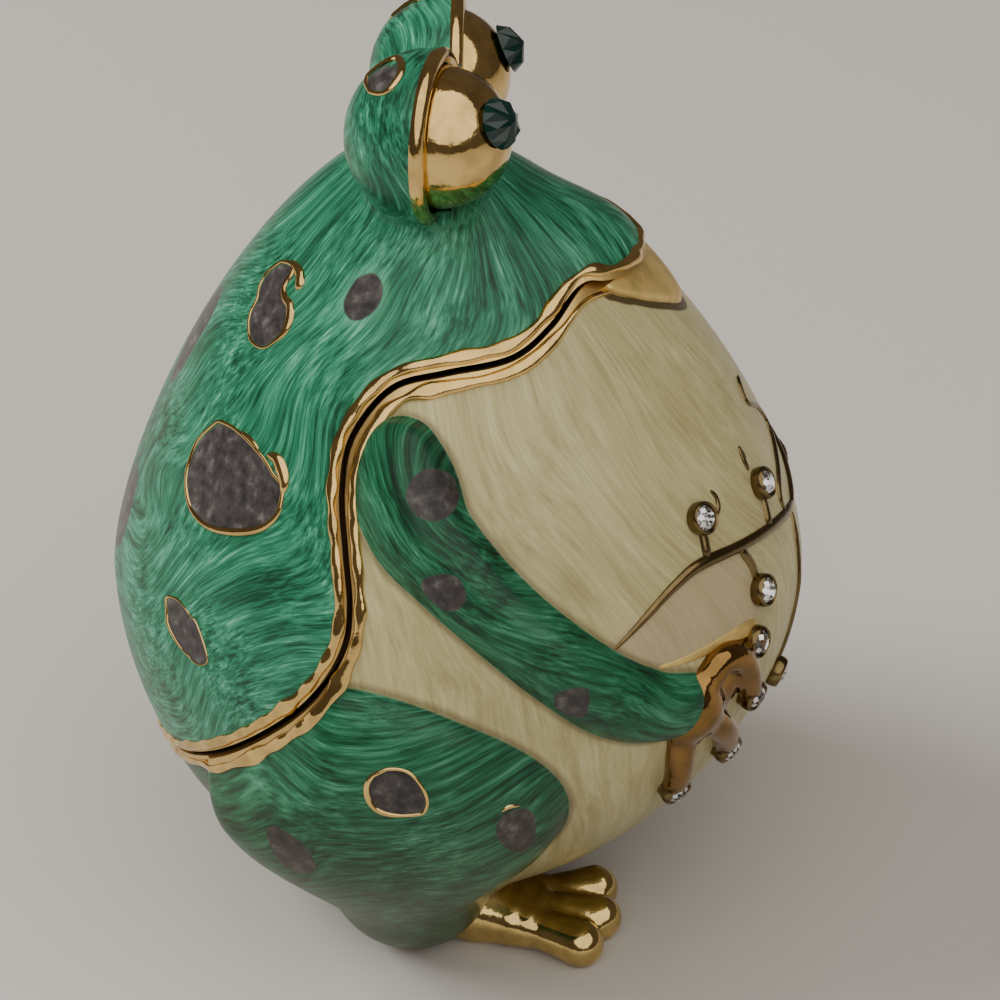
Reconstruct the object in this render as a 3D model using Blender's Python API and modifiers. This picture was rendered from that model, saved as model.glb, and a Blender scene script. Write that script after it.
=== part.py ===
"""Frog trinket box: an egg-shaped enamelled casting in two halves, set with crystals.

Metres, +Z up. The frog faces -Y, its right side is at -X, and it stands on the plane z = 0.
"""

import math

import bmesh
import bpy
from mathutils import Matrix, Vector

# Body: an egg of oval sections, a little pointed at the crown
BODY_WIDTH = 0.0574
BODY_DEPTH = 0.0603
BODY_HEIGHT = 0.0716
BELOW_GROUND = 0.0012
WIDEST_SHARE = 0.448
CROWN_ROUNDNESS = 1.48
BELLY_ROUNDNESS = 1.83
LEAN = -0.03
SWAY = 0.190

# Walls and the fit of the lid on the base
LID_WALL = 0.0017
FIT_GAP = 0.0003
LIP_THICKNESS = 0.0008
LIP_HEIGHT = 0.0015
SEAM_GAP = 0.0005
BASE_WALL = LID_WALL + FIT_GAP + LIP_THICKNESS
END_WALL_FACTOR = 1.35

# Relief on the base
ARM_RADIUS = 0.0036
PALM_RADIUS = 0.0033
PALM_SUNK = 0.3
FINGER_RADIUS = 0.0011
VINE_RADIUS = 0.00045
CHIN_RAISE = 0.0008
CHIN_WIDTH = 0.0136
CHIN_LENGTH = 0.0060
TOE_RADIUS = 0.0021

# Eyes on the lid
EYE_RADIUS = 0.0070
EYE_SPACING = 0.0130
EYE_RISE = 0.0019
EYE_BACK = 0.0010
EYELID_RADIUS = 0.0007
EYELID_FORWARD = 0.0003
EYELID_YAW = 6.0
EYEBALL_RADIUS = 0.0057
EYEBALL_FORWARD = {"right": 0.0008, "left": -0.0009}
GAZE_YAW = {"right": 22.0, "left": 8.0}
GAZE_PITCH = 23.0
SNOUT_CENTRE = (-0.330, 0.838)
SNOUT_SIZE = (0.230, 0.180, 0.062)

# Crystals and their settings
CRYSTAL_DIAMETER = 0.0021
CRYSTAL_HEIGHT = 0.0011
CROWN_SHARE = 0.38
TABLE_SHARE = 0.56
GIRDLE_SHARE = 0.08
EYE_CRYSTAL_DIAMETER = 0.0042
EYE_CRYSTAL_HEIGHT = 0.0022
EYE_CROWN_SHARE = 0.75
SETTING_GAP = 0.00025
SETTING_WALL = 0.00035
SETTING_RAISE = 0.0009
SETTING_DEPTH = 0.0020

# Fineness of the faceted forms
EGG_SEGMENTS = 36
EGG_RINGS = 22
CAVITY_SEGMENTS = 24
CAVITY_RINGS = 16
BALL_SEGMENTS = 16
BALL_RINGS = 10
PALM_SEGMENTS = 10
PALM_RINGS = 6
LIMB_SEGMENTS = 18
LIMB_RINGS = 10
SETTING_SIDES = 8
EYE_FACETS = 8
FACETS = 6
CURVE_STEPS = 2

RIGHT, LEFT = -1.0, 1.0
SIDES = {"right": RIGHT, "left": LEFT}

# Routes over the skin: degrees from the front, share of the body height, share of the radius, share sunk
ARM_ROUTE = (
    (93.0, 0.731, 0.90, 0.30),
    (92.0, 0.700, 1.25, 0.55),
    (89.0, 0.659, 1.22, 0.55),
    (83.5, 0.622, 1.10, 0.48),
    (76.0, 0.573, 1.00, 0.42),
    (68.0, 0.521, 0.98, 0.40),
    (59.5, 0.469, 0.98, 0.38),
    (52.0, 0.434, 0.95, 0.35),
    (45.5, 0.420, 0.90, 0.33),
)
PALM_PLACE = (42.5, 0.407)
FINGER_ROUTES = (
    ((43.0, 0.440, 0.80, 0.2), (37.0, 0.476, 0.80, 0.3), (32.0, 0.471, 0.8, 0.2), (28.3, 0.456, 0.8, 0.0)),
    ((42.5, 0.425, 1.20, 0.0), (38.0, 0.461, 1.15, -0.4), (32.5, 0.445, 1.1, -0.5), (27.3, 0.380, 1.0, -0.3)),
    ((42.0, 0.400, 1.25, 0.0), (37.0, 0.375, 1.20, -0.5), (32.0, 0.339, 1.1, -0.5), (27.5, 0.298, 1.0, -0.3)),
    ((44.0, 0.385, 1.20, 0.0), (43.0, 0.342, 1.15, -0.3), (41.3, 0.308, 1.1, -0.4), (40.2, 0.279, 1.0, -0.3)),
)
VINE_ROUTE = (
    (58.5, 0.514, 1.0, 0.1),
    (49.6, 0.549, 1.0, 0.1),
    (43.6, 0.567, 1.0, 0.1),
    (37.1, 0.575, 1.1, 0.1),
    (25.9, 0.567, 1.1, 0.1),
    (14.1, 0.554, 1.1, 0.1),
    (4.5, 0.540, 1.1, 0.1),
    (-2.0, 0.531, 1.1, 0.1),
)
SHOOT_ROUTES = {
    "right": (
        ((35.6, 0.577, 0.9, 0.1), (34.9, 0.603, 0.9, 0.1), (34.6, 0.620, 0.9, 0.1)),
        ((15.6, 0.557, 0.9, 0.1), (14.0, 0.585, 0.9, 0.1), (13.5, 0.604, 0.9, 0.1)),
        ((27.0, 0.566, 0.9, 0.1), (25.0, 0.541, 0.9, 0.1), (24.5, 0.508, 0.9, 0.1)),
    ),
    "left": (
        ((50.5, 0.549, 0.9, 0.1), (55.0, 0.577, 0.9, 0.1), (57.5, 0.600, 0.9, 0.1)),
        ((27.0, 0.566, 0.9, 0.1), (25.0, 0.541, 0.9, 0.1), (24.5, 0.508, 0.9, 0.1)),
    ),
}
MIDDLE_SHOOT = (
    (2.0, 0.533, 0.9, 0.1),
    (7.0, 0.440, 0.9, 0.1),
    (8.5, 0.380, 0.9, 0.1),
    (7.5, 0.328, 0.9, 0.1),
)

# Side view of the seam between lid and base: shares of the half depth and of the body height
SEAM_POINTS = (
    (-0.803, 0.838),
    (-0.472, 0.854),
    (-0.378, 0.861),
    (-0.308, 0.837),
    (-0.217, 0.817),
    (-0.050, 0.808),
    (0.090, 0.792),
    (0.186, 0.744),
    (0.207, 0.691),
    (0.189, 0.630),
    (0.171, 0.572),
    (0.187, 0.524),
    (0.268, 0.464),
    (0.418, 0.394),
    (0.659, 0.296),
    (0.903, 0.209),
    (1.137, 0.140),
)
SEAM_STEPS = 2

# Haunches, lower legs and feet: centres and half sizes as shares of the half width, half depth and height
HAUNCH_CENTRE = (0.787, 0.100, 0.350)
HAUNCH_SIZE = (0.305, 0.532, 0.186)
HAUNCH_TILT = 10.0
SHIN_CENTRE = (0.505, 0.057, 0.070)
SHIN_SIZE = (0.244, 0.247, 0.080)
ANKLE = (0.450, -0.100)
ANKLE_RADIUS_FACTOR = 1.45
TOE_PROFILE = ((0.35, 1.2), (0.65, 0.85), (0.82, 0.9), (1.0, 1.0))
TOE_LIFT = 0.80
TOE_TIPS = ((0.568, -0.425), (0.432, -0.465), (0.286, -0.441))


def half_sizes(inset):
    """Half width, half depth, top, bottom and widest height of the egg, drawn in by a wall."""
    end_inset = inset * END_WALL_FACTOR
    top, bottom = BODY_HEIGHT - end_inset, end_inset - BELOW_GROUND
    return BODY_WIDTH / 2 - inset, BODY_DEPTH / 2 - inset, top, bottom, BODY_HEIGHT * WIDEST_SHARE


def egg_middle(height):
    """How far the oval section at a height is moved towards the back."""
    share = height / BODY_HEIGHT - WIDEST_SHARE
    return BODY_HEIGHT * (LEAN * share + SWAY * share * share)


def egg_point(side, turn, height, inset=0.0):
    """A point of the egg at an angle from the front, in degrees, towards one side."""
    half_width, half_depth, top, bottom, widest = half_sizes(inset)
    if height > widest:
        rise, roundness = (height - widest) / (top - widest), CROWN_ROUNDNESS
    else:
        rise, roundness = (widest - height) / (widest - bottom), BELLY_ROUNDNESS
    share = max(0.0, 1.0 - min(1.0, rise) ** roundness) ** (1.0 / roundness)
    angle = math.radians(turn)
    across = side * half_width * share * math.sin(angle)
    along = egg_middle(height) - half_depth * share * math.cos(angle)
    return Vector((across, along, height))


def skin(side, turn, height_share, out=0.0):
    """A point at or above the skin, and the outward normal there."""
    height = BODY_HEIGHT * height_share
    small_turn, small_height = 0.5, BODY_HEIGHT * 0.004
    here = egg_point(side, turn, height)
    sideways = egg_point(side, turn + small_turn, height) - egg_point(side, turn - small_turn, height)
    upwards = egg_point(side, turn, height + small_height) - egg_point(side, turn, height - small_height)
    normal = sideways.cross(upwards).normalized()
    if normal.dot(here - Vector((0.0, egg_middle(height), BODY_HEIGHT * WIDEST_SHARE))) < 0:
        normal.negate()
    return here + normal * out, normal


def between(before, start, end, after, t):
    """A number on the Catmull-Rom curve from start to end."""
    bend = 2 * before - 5 * start + 4 * end - after
    twist = 3 * start - before - 3 * end + after
    return 0.5 * (2 * start + (end - before) * t + bend * t**2 + twist * t**3)


def smooth_through(points, steps):
    """Points on a Catmull-Rom curve through tuples of numbers."""
    result = []
    last = len(points) - 1
    for index in range(last):
        before, start = points[max(index - 1, 0)], points[index]
        end, after = points[index + 1], points[min(index + 2, last)]
        for step in range(steps):
            result.append(tuple(between(*four, step / steps) for four in zip(before, start, end, after)))
    result.append(tuple(points[last]))
    return result


def new_collection(name, parent):
    collection = bpy.data.collections.new(name)
    parent.children.link(collection)
    return collection


def finish(name, colour, roughness, metallic=0.0, transmission=0.0):
    """A Principled material of one colour."""
    material = bpy.data.materials.new(name)
    material.use_nodes = True
    shader = material.node_tree.nodes["Principled BSDF"]
    shader.inputs["Base Color"].default_value = (*colour, 1.0)
    shader.inputs["Roughness"].default_value = roughness
    shader.inputs["Metallic"].default_value = metallic
    shader.inputs["Transmission Weight"].default_value = transmission
    material.diffuse_color = (*colour, 1.0)
    return material


def new_object(name, mesh, collection, material):
    thing = bpy.data.objects.new(name, mesh)
    collection.objects.link(thing)
    if not mesh.materials:
        mesh.materials.append(material)
    return thing


def as_helper(thing):
    """Marks a cutter, or a form that a Boolean joins, so that it isn't a part."""
    thing.hide_render = True
    thing.display_type = "WIRE"
    return thing


def mesh_from(name, shape):
    mesh = bpy.data.meshes.new(name)
    shape.to_mesh(mesh)
    shape.free()
    return mesh


def egg(name, inset, segments, rings, collection, material):
    """The body's egg, from a sphere whose rings take the sections of the egg."""
    half_width, half_depth, top, bottom, widest = half_sizes(inset)
    shape = bmesh.new()
    bmesh.ops.create_uvsphere(shape, u_segments=segments, v_segments=rings, radius=1.0)
    for vertex in shape.verts:
        latitude = math.asin(max(-1.0, min(1.0, vertex.co.z)))
        direction = Vector((vertex.co.x, vertex.co.y))
        if direction.length > 0:
            direction.normalize()
        roundness = CROWN_ROUNDNESS if latitude > 0 else BELLY_ROUNDNESS
        rise = abs(math.sin(latitude)) ** (2 / roundness)
        share = abs(math.cos(latitude)) ** (2 / roundness)
        height = widest + rise * (top - widest if latitude > 0 else bottom - widest)
        across = direction.x * half_width * share
        along = egg_middle(height) + direction.y * half_depth * share
        vertex.co = (across, along, height)
    return new_object(name, mesh_from(name, shape), collection, material)


def ball(name, centre, half_sizes_xyz, collection, material, segments=BALL_SEGMENTS, rings=BALL_RINGS, tilt=0.0):
    """An ellipsoid, tilted about the Y axis by an angle in degrees."""
    shape = bmesh.new()
    bmesh.ops.create_uvsphere(shape, u_segments=segments, v_segments=rings, radius=1.0)
    bmesh.ops.scale(shape, vec=half_sizes_xyz, verts=shape.verts)
    bmesh.ops.transform(shape, matrix=Matrix.Rotation(math.radians(tilt), 4, "Y"), verts=shape.verts)
    bmesh.ops.translate(shape, vec=centre, verts=shape.verts)
    return as_helper(new_object(name, mesh_from(name, shape), collection, material))


def block(name, low, high, collection, material):
    """A box between two corners."""
    shape = bmesh.new()
    bmesh.ops.create_cube(shape, size=1.0)
    bmesh.ops.scale(shape, vec=Vector(high) - Vector(low), verts=shape.verts)
    bmesh.ops.translate(shape, vec=(Vector(low) + Vector(high)) / 2, verts=shape.verts)
    return as_helper(new_object(name, mesh_from(name, shape), collection, material))


def facing(point, direction):
    """A matrix that stands a thing's Z axis along a direction at a point."""
    return Matrix.Translation(point) @ direction.to_track_quat("Z", "Y").to_matrix().to_4x4()


def rod(name, point, direction, radius, low, high, collection, material):
    """A short cylinder about a direction, from low to high along it."""
    shape = bmesh.new()
    bmesh.ops.create_cone(
        shape, cap_ends=True, segments=SETTING_SIDES, radius1=radius, radius2=radius, depth=high - low
    )
    bmesh.ops.translate(shape, vec=(0.0, 0.0, (low + high) / 2), verts=shape.verts)
    bmesh.ops.transform(shape, matrix=facing(point, direction), verts=shape.verts)
    return as_helper(new_object(name, mesh_from(name, shape), collection, material))


def mesh_of_curve(name, curve, matrix, collection, material):
    """Makes a curve a closed mesh, with its caps welded to its sides."""
    guide = bpy.data.objects.new(name, curve)
    mesh = bpy.data.meshes.new_from_object(guide)
    bpy.data.objects.remove(guide)
    bpy.data.curves.remove(curve)
    shape = bmesh.new()
    shape.from_mesh(mesh)
    bmesh.ops.remove_doubles(shape, verts=shape.verts, dist=1e-7)
    bmesh.ops.transform(shape, matrix=matrix, verts=shape.verts)
    bmesh.ops.recalc_face_normals(shape, faces=shape.faces)
    shape.to_mesh(mesh)
    shape.free()
    mesh.materials.clear()
    return as_helper(new_object(name, mesh, collection, material))


def round_ended(points, radii):
    """Adds two points at each end, so that a tube closes in a round tip."""
    cap = ((0.60, 0.80), (0.93, 0.36))
    first = (points[0] - points[1]).normalized()
    final = (points[-1] - points[-2]).normalized()
    head = [(points[0] + first * radii[0] * reach, radii[0] * share) for reach, share in reversed(cap)]
    tail = [(points[-1] + final * radii[-1] * reach, radii[-1] * share) for reach, share in cap]
    return head + list(zip(points, radii)) + tail


def tube(name, points, radii, resolution, collection, material):
    """A tube of changing radius through points, round-ended unless it is square in section."""
    curve = bpy.data.curves.new(name, "CURVE")
    curve.dimensions = "3D"
    curve.bevel_depth = max(radii)
    curve.bevel_resolution = resolution
    curve.use_fill_caps = True
    capped = round_ended(points, radii) if resolution else list(zip(points, radii))
    spline = curve.splines.new("POLY")
    spline.points.add(len(capped) - 1)
    for control, (point, radius) in zip(spline.points, capped):
        control.co = (*point, 1.0)
        control.radius = radius / curve.bevel_depth
    return mesh_of_curve(name, curve, Matrix.Identity(4), collection, material)


def tube_on_skin(name, side, route, radius, resolution, collection, material):
    """A tube that follows the skin through (turn, height share, radius share, share sunk)."""
    points, radii = [], []
    for turn, height_share, radius_share, sunk in smooth_through(route, CURVE_STEPS):
        points.append(skin(side, turn, height_share, -sunk * radius)[0])
        radii.append(radius * radius_share)
    return tube(name, points, radii, resolution, collection, material)


def prism(name, outline, half_depth, matrix, collection, material):
    """A flat outline made solid on both sides of its plane."""
    curve = bpy.data.curves.new(name, "CURVE")
    curve.dimensions = "2D"
    curve.fill_mode = "BOTH"
    curve.extrude = half_depth
    spline = curve.splines.new("POLY")
    spline.points.add(len(outline) - 1)
    for control, (x, y) in zip(spline.points, outline):
        control.co = (x, y, 0.0, 1.0)
    spline.use_cyclic_u = True
    return mesh_of_curve(name, curve, matrix, collection, material)


def seam_line(shift):
    """The seam in side view as (y, z) points, moved towards the lid by a shift."""
    shares = smooth_through(SEAM_POINTS, SEAM_STEPS)
    line = [Vector((along * BODY_DEPTH / 2, height * BODY_HEIGHT)) for along, height in shares]
    moved = []
    for index, point in enumerate(line):
        run = line[min(index + 1, len(line) - 1)] - line[max(index - 1, 0)]
        towards_lid = Vector((-run.y, run.x)).normalized()
        moved.append(point + towards_lid * shift)
    return moved


def lid_side(name, shift, collection, material):
    """All that lies on the lid's side of the seam, as a solid across the whole width."""
    line = seam_line(shift)
    above = BODY_HEIGHT * 1.5
    outline = [tuple(point) for point in line]
    outline += [(line[-1].x + BODY_DEPTH / 2, line[-1].y), (line[-1].x + BODY_DEPTH / 2, above), (line[0].x, above)]
    side_view = Matrix(((0, 0, 1, 0), (1, 0, 0, 0), (0, 1, 0, 0), (0, 0, 0, 1)))
    return prism(name, outline, BODY_WIDTH, side_view, collection, material)


def add_boolean(target, operation, other):
    """A Boolean with one object or with a whole collection."""
    modifier = target.modifiers.new(operation.lower(), "BOOLEAN")
    modifier.operation = operation
    modifier.solver = "EXACT"
    modifier.material_mode = "TRANSFER"
    if isinstance(other, bpy.types.Collection):
        modifier.operand_type = "COLLECTION"
        modifier.collection = other
    else:
        modifier.object = other


def crystal(name, place, diameter, height, pointed, collection, material):
    """A cut stone: a turned profile of few sides, its girdle on its own z = 0."""
    radius = diameter / 2
    crown = height * (EYE_CROWN_SHARE if pointed else CROWN_SHARE)
    culet = crown - height
    girdle = height * GIRDLE_SHARE
    profile = [(0.0, crown), (radius, girdle), (radius, -girdle), (0.0, culet)]
    if not pointed:
        profile.insert(1, (radius * TABLE_SHARE, crown))
    shape = bmesh.new()
    corners = [shape.verts.new((x, 0.0, z)) for x, z in profile]
    for start, end in zip(corners, corners[1:]):
        shape.edges.new((start, end))
    stone = new_object(name, mesh_from(name, shape), collection, material)
    turning = stone.modifiers.new("turning", "SCREW")
    turning.steps = turning.render_steps = EYE_FACETS if pointed else FACETS
    turning.use_merge_vertices = True
    turning.merge_threshold = 1e-6
    turning.use_smooth_shade = False
    stone.matrix_world = place
    return stone


def setting(name, place, direction, stone_diameter, wall, raise_by, forms, seats, gold):
    """The cup that holds a crystal: a rod joined to the casting, and the seat cut in it."""
    seat_radius = stone_diameter / 2 + SETTING_GAP
    rod(name, place, direction, seat_radius + wall, -SETTING_DEPTH, raise_by, forms, gold)
    seat_depth = raise_by - CRYSTAL_HEIGHT * (1 - CROWN_SHARE) - SETTING_GAP
    rod(name + "_seat", place, direction, seat_radius, seat_depth, raise_by + SETTING_DEPTH, seats, gold)


def stone_on_skin(name, side, turn, height_share, lift, groups, finishes):
    """A small crystal in its cup on the skin."""
    place, direction = skin(side, turn, height_share, lift)
    setting(name + "_cup", place, direction, CRYSTAL_DIAMETER, SETTING_WALL, SETTING_RAISE,
            groups["base_forms"], groups["base_seats"], finishes["gold"])
    girdle = place + direction * SETTING_RAISE
    crystal(name, facing(girdle, direction), CRYSTAL_DIAMETER, CRYSTAL_HEIGHT, False,
            groups["parts"], finishes["clear_crystal"])


def add_limbs(label, side, groups, finishes):
    """One arm with its hand, one haunch with its lower leg and foot."""
    forms = groups["base_forms"]
    green, gold = finishes["green_enamel"], finishes["gold"]
    tube_on_skin(label + "_arm", side, ARM_ROUTE, ARM_RADIUS, 2, forms, green)
    palm = skin(side, *PALM_PLACE, -PALM_RADIUS * PALM_SUNK)[0]
    ball(label + "_palm", palm, (PALM_RADIUS,) * 3, forms, gold, PALM_SEGMENTS, PALM_RINGS)
    for number, route in enumerate(FINGER_ROUTES, 1):
        tube_on_skin(f"{label}_finger_{number}", side, route, FINGER_RADIUS, 1, forms, gold)
        turn, height_share, _, sunk = route[-1]
        stone_on_skin(f"fingertip_crystal_{label}_{number}", side, turn, height_share,
                      -sunk * FINGER_RADIUS, groups, finishes)
    body_shares = Vector((BODY_WIDTH / 2, BODY_DEPTH / 2, BODY_HEIGHT))
    mirror = Vector((side, 1.0, 1.0))
    thigh = ("haunch", HAUNCH_CENTRE, HAUNCH_SIZE, HAUNCH_TILT)
    for part, centre, size, tilt in (thigh, ("shin", SHIN_CENTRE, SHIN_SIZE, 0.0)):
        place = Vector(centre) * body_shares * mirror
        size = Vector(size) * body_shares
        ball(f"{label}_{part}", place, size, forms, green, LIMB_SEGMENTS, LIMB_RINGS, side * tilt)
    root_radius = TOE_RADIUS * ANKLE_RADIUS_FACTOR
    root = Vector((side * ANKLE[0] * BODY_WIDTH / 2, ANKLE[1] * BODY_DEPTH / 2, root_radius * TOE_LIFT))
    for number, (across, along) in enumerate(TOE_TIPS, 1):
        tip = Vector((side * across * BODY_WIDTH / 2, along * BODY_DEPTH / 2, TOE_RADIUS * TOE_LIFT))
        points = [root] + [root.lerp(tip, share) for share, _ in TOE_PROFILE]
        radii = [root_radius] + [TOE_RADIUS * factor for _, factor in TOE_PROFILE]
        tube(f"{label}_toe_{number}", points, radii, 1, forms, gold)


def add_vine(groups, finishes):
    """The wire that crosses the belly, its shoots and the crystals at their ends."""
    forms, gold = groups["base_forms"], finishes["gold"]
    for label, side in SIDES.items():
        tube_on_skin(label + "_vine", side, VINE_ROUTE, VINE_RADIUS, 0, forms, gold)
        for number, route in enumerate(SHOOT_ROUTES[label], 1):
            tube_on_skin(f"{label}_shoot_{number}", side, route, VINE_RADIUS, 0, forms, gold)
            turn, height_share = route[-1][:2]
            stone_on_skin(f"vine_crystal_{label}_{number}", side, turn, height_share, 0.0, groups, finishes)
    tube_on_skin("middle_shoot", RIGHT, MIDDLE_SHOOT, VINE_RADIUS, 0, forms, gold)
    turn, height_share = MIDDLE_SHOOT[-1][:2]
    stone_on_skin("vine_crystal_middle", RIGHT, turn, height_share, 0.0, groups, finishes)


def add_chin(groups, finishes):
    """The raised gold lip below the mouth: a rounded triangle that follows the skin."""
    seam_front = seam_line(0.0)[SEAM_STEPS]
    height_share = (seam_front.y - CHIN_LENGTH * 0.4) / BODY_HEIGHT
    place, direction = skin(RIGHT, 0.0, height_share)
    down = Vector((1.0, 0.0, 0.0)).cross(direction).normalized()
    if down.z > 0:
        down.negate()
    sideways = direction.cross(down)
    frame = Matrix.Translation(place) @ Matrix((sideways, down, direction)).transposed().to_4x4()
    half = CHIN_WIDTH / 2
    shares = ((1.0, -1.0), (1.0, -0.6), (0.75, -0.15), (0.40, 0.31), (0.17, 0.56), (0.0, 0.60))
    outline = [(across * half, along * CHIN_LENGTH) for across, along in smooth_through(shares, CURVE_STEPS)]
    outline += [(-x, y) for x, y in reversed(outline[:-1])]
    chin = egg("chin", -CHIN_RAISE, CAVITY_SEGMENTS, CAVITY_RINGS, groups["base_forms"], finishes["gold"])
    as_helper(chin)
    lip = prism("chin_outline", outline, BODY_DEPTH * 0.25, frame, groups["cutters"], finishes["gold"])
    add_boolean(chin, "INTERSECT", lip)


def add_eye(label, side, groups, finishes):
    """One eye mound with its lid rim, its gold ball and the seat of its crystal."""
    forms = groups["lid_forms"]
    green, gold = finishes["green_enamel"], finishes["gold"]
    centre = Vector((side * EYE_SPACING / 2, EYE_BACK, BODY_HEIGHT + EYE_RISE))
    yaw = math.radians(EYELID_YAW)
    ahead = Vector((side * math.sin(yaw), -math.cos(yaw), 0.0))
    mound = ball(label + "_eye_mound", centre, (EYE_RADIUS,) * 3, forms, green)
    reach = EYE_RADIUS * 2
    cut = EYELID_FORWARD + EYELID_RADIUS * 0.3
    front = rod(label + "_eye_front", centre, ahead, reach, cut, reach, groups["cutters"], green)
    add_boolean(mound, "DIFFERENCE", front)
    bpy.ops.mesh.primitive_torus_add(
        major_segments=BALL_SEGMENTS,
        minor_segments=6,
        major_radius=EYE_RADIUS - EYELID_RADIUS * 0.8,
        minor_radius=EYELID_RADIUS,
    )
    rim = bpy.context.object
    rim.name = label + "_eyelid"
    rim.data.materials.append(gold)
    rim.matrix_world = facing(centre + ahead * EYELID_FORWARD, ahead)
    for collection in rim.users_collection:
        collection.objects.unlink(rim)
    forms.objects.link(as_helper(rim))
    middle = centre + ahead * EYEBALL_FORWARD[label]
    ball(label + "_eyeball", middle, (EYEBALL_RADIUS,) * 3, forms, gold)
    yaw, pitch = math.radians(GAZE_YAW[label]), math.radians(GAZE_PITCH)
    gaze = Vector((side * math.sin(yaw) * math.cos(pitch), -math.cos(yaw) * math.cos(pitch), math.sin(pitch)))
    seat = middle + gaze * EYEBALL_RADIUS
    seat_radius = EYE_CRYSTAL_DIAMETER / 2 + SETTING_GAP
    floor = -EYE_CRYSTAL_HEIGHT * (1 - EYE_CROWN_SHARE) - SETTING_GAP
    rod(label + "_eye_seat", seat, gaze, seat_radius, floor, EYE_RADIUS, groups["lid_seats"], gold)
    crystal(f"eye_crystal_{label}", facing(seat, gaze), EYE_CRYSTAL_DIAMETER, EYE_CRYSTAL_HEIGHT, True,
            groups["parts"], finishes["dark_green_crystal"])


def add_face(groups, finishes):
    """The flesh that joins the two eye mounds above the crown, and the rounded snout."""
    forms, green = groups["lid_forms"], finishes["green_enamel"]
    place = (0.0, EYE_BACK, BODY_HEIGHT)
    size = (EYE_SPACING * 0.25, EYE_RADIUS * 0.65, EYE_RISE)
    ball("brow", place, size, forms, green)
    body_shares = Vector((BODY_WIDTH / 2, BODY_DEPTH / 2, BODY_HEIGHT))
    place = Vector((0.0, *SNOUT_CENTRE)) * body_shares
    ball("snout", place, Vector(SNOUT_SIZE) * body_shares, forms, green)


def make_base(groups, finishes):
    """The lower half: belly and limbs, hollow, with the lip that the lid fits over."""
    cutters, cream, gold = groups["cutters"], finishes["cream_enamel"], finishes["gold"]
    lid_space = lid_side("lid_space", -SEAM_GAP / 2, cutters, gold)
    lip_top = lid_side("lip_top", LIP_HEIGHT, cutters, gold)
    lip = as_helper(egg("lip", LID_WALL + FIT_GAP, CAVITY_SEGMENTS, CAVITY_RINGS, cutters, gold))
    add_boolean(lip, "DIFFERENCE", lip_top)
    hollow = as_helper(egg("base_hollow", BASE_WALL, CAVITY_SEGMENTS, CAVITY_RINGS, cutters, gold))
    reach = BODY_WIDTH * 2
    ground = block("ground", (-reach, -reach, -BODY_HEIGHT), (reach, reach, 0.0), cutters, gold)
    base = egg("base", 0.0, EGG_SEGMENTS, EGG_RINGS, groups["parts"], cream)
    add_boolean(base, "UNION", groups["base_forms"])
    add_boolean(base, "DIFFERENCE", lid_space)
    add_boolean(base, "UNION", lip)
    add_boolean(base, "DIFFERENCE", hollow)
    add_boolean(base, "DIFFERENCE", ground)
    add_boolean(base, "DIFFERENCE", groups["base_seats"])
    return base


def make_lid(groups, finishes):
    """The upper half: back, face and eyes, hollow under the crown."""
    cutters, green, gold = groups["cutters"], finishes["green_enamel"], finishes["gold"]
    lid_outline = lid_side("lid_outline", SEAM_GAP / 2, cutters, gold)
    hollow = as_helper(egg("lid_hollow", LID_WALL, CAVITY_SEGMENTS, CAVITY_RINGS, cutters, gold))
    lid = egg("lid", 0.0, EGG_SEGMENTS, EGG_RINGS, groups["parts"], green)
    add_boolean(lid, "UNION", groups["lid_forms"])
    add_boolean(lid, "INTERSECT", lid_outline)
    add_boolean(lid, "DIFFERENCE", hollow)
    add_boolean(lid, "DIFFERENCE", groups["lid_seats"])
    return lid


def main():
    for leftover in list(bpy.data.objects):
        bpy.data.objects.remove(leftover)
    scene_collection = bpy.context.scene.collection
    groups = {"parts": new_collection("frog_trinket_box", scene_collection)}
    groups["cutters"] = new_collection("cutters", scene_collection)
    for name in ("base_forms", "base_seats", "lid_forms", "lid_seats"):
        groups[name] = new_collection(name, groups["cutters"])
    finishes = {
        "cream_enamel": finish("cream_enamel", (0.52, 0.46, 0.30), 0.25),
        "green_enamel": finish("green_enamel", (0.01, 0.20, 0.09), 0.22),
        "gold": finish("gold", (0.80, 0.56, 0.22), 0.15, metallic=1.0),
        "clear_crystal": finish("clear_crystal", (0.95, 0.95, 0.95), 0.02, transmission=1.0),
        "dark_green_crystal": finish("dark_green_crystal", (0.01, 0.05, 0.03), 0.05, transmission=0.6),
    }
    for label, side in SIDES.items():
        add_limbs(label, side, groups, finishes)
        add_eye(label, side, groups, finishes)
    add_face(groups, finishes)
    add_vine(groups, finishes)
    add_chin(groups, finishes)
    for half in (make_base(groups, finishes), make_lid(groups, finishes)):
        for material in finishes.values():
            if material.name not in half.data.materials:
                half.data.materials.append(material)


main()
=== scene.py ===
"""Frog trinket box: enamel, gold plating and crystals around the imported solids.

Shapes are worked out in millimetres and written in metres. The frog faces -Y, its right side is at -X.
"""

import math

import bpy
import numpy as np
from mathutils import Matrix, Vector


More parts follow.
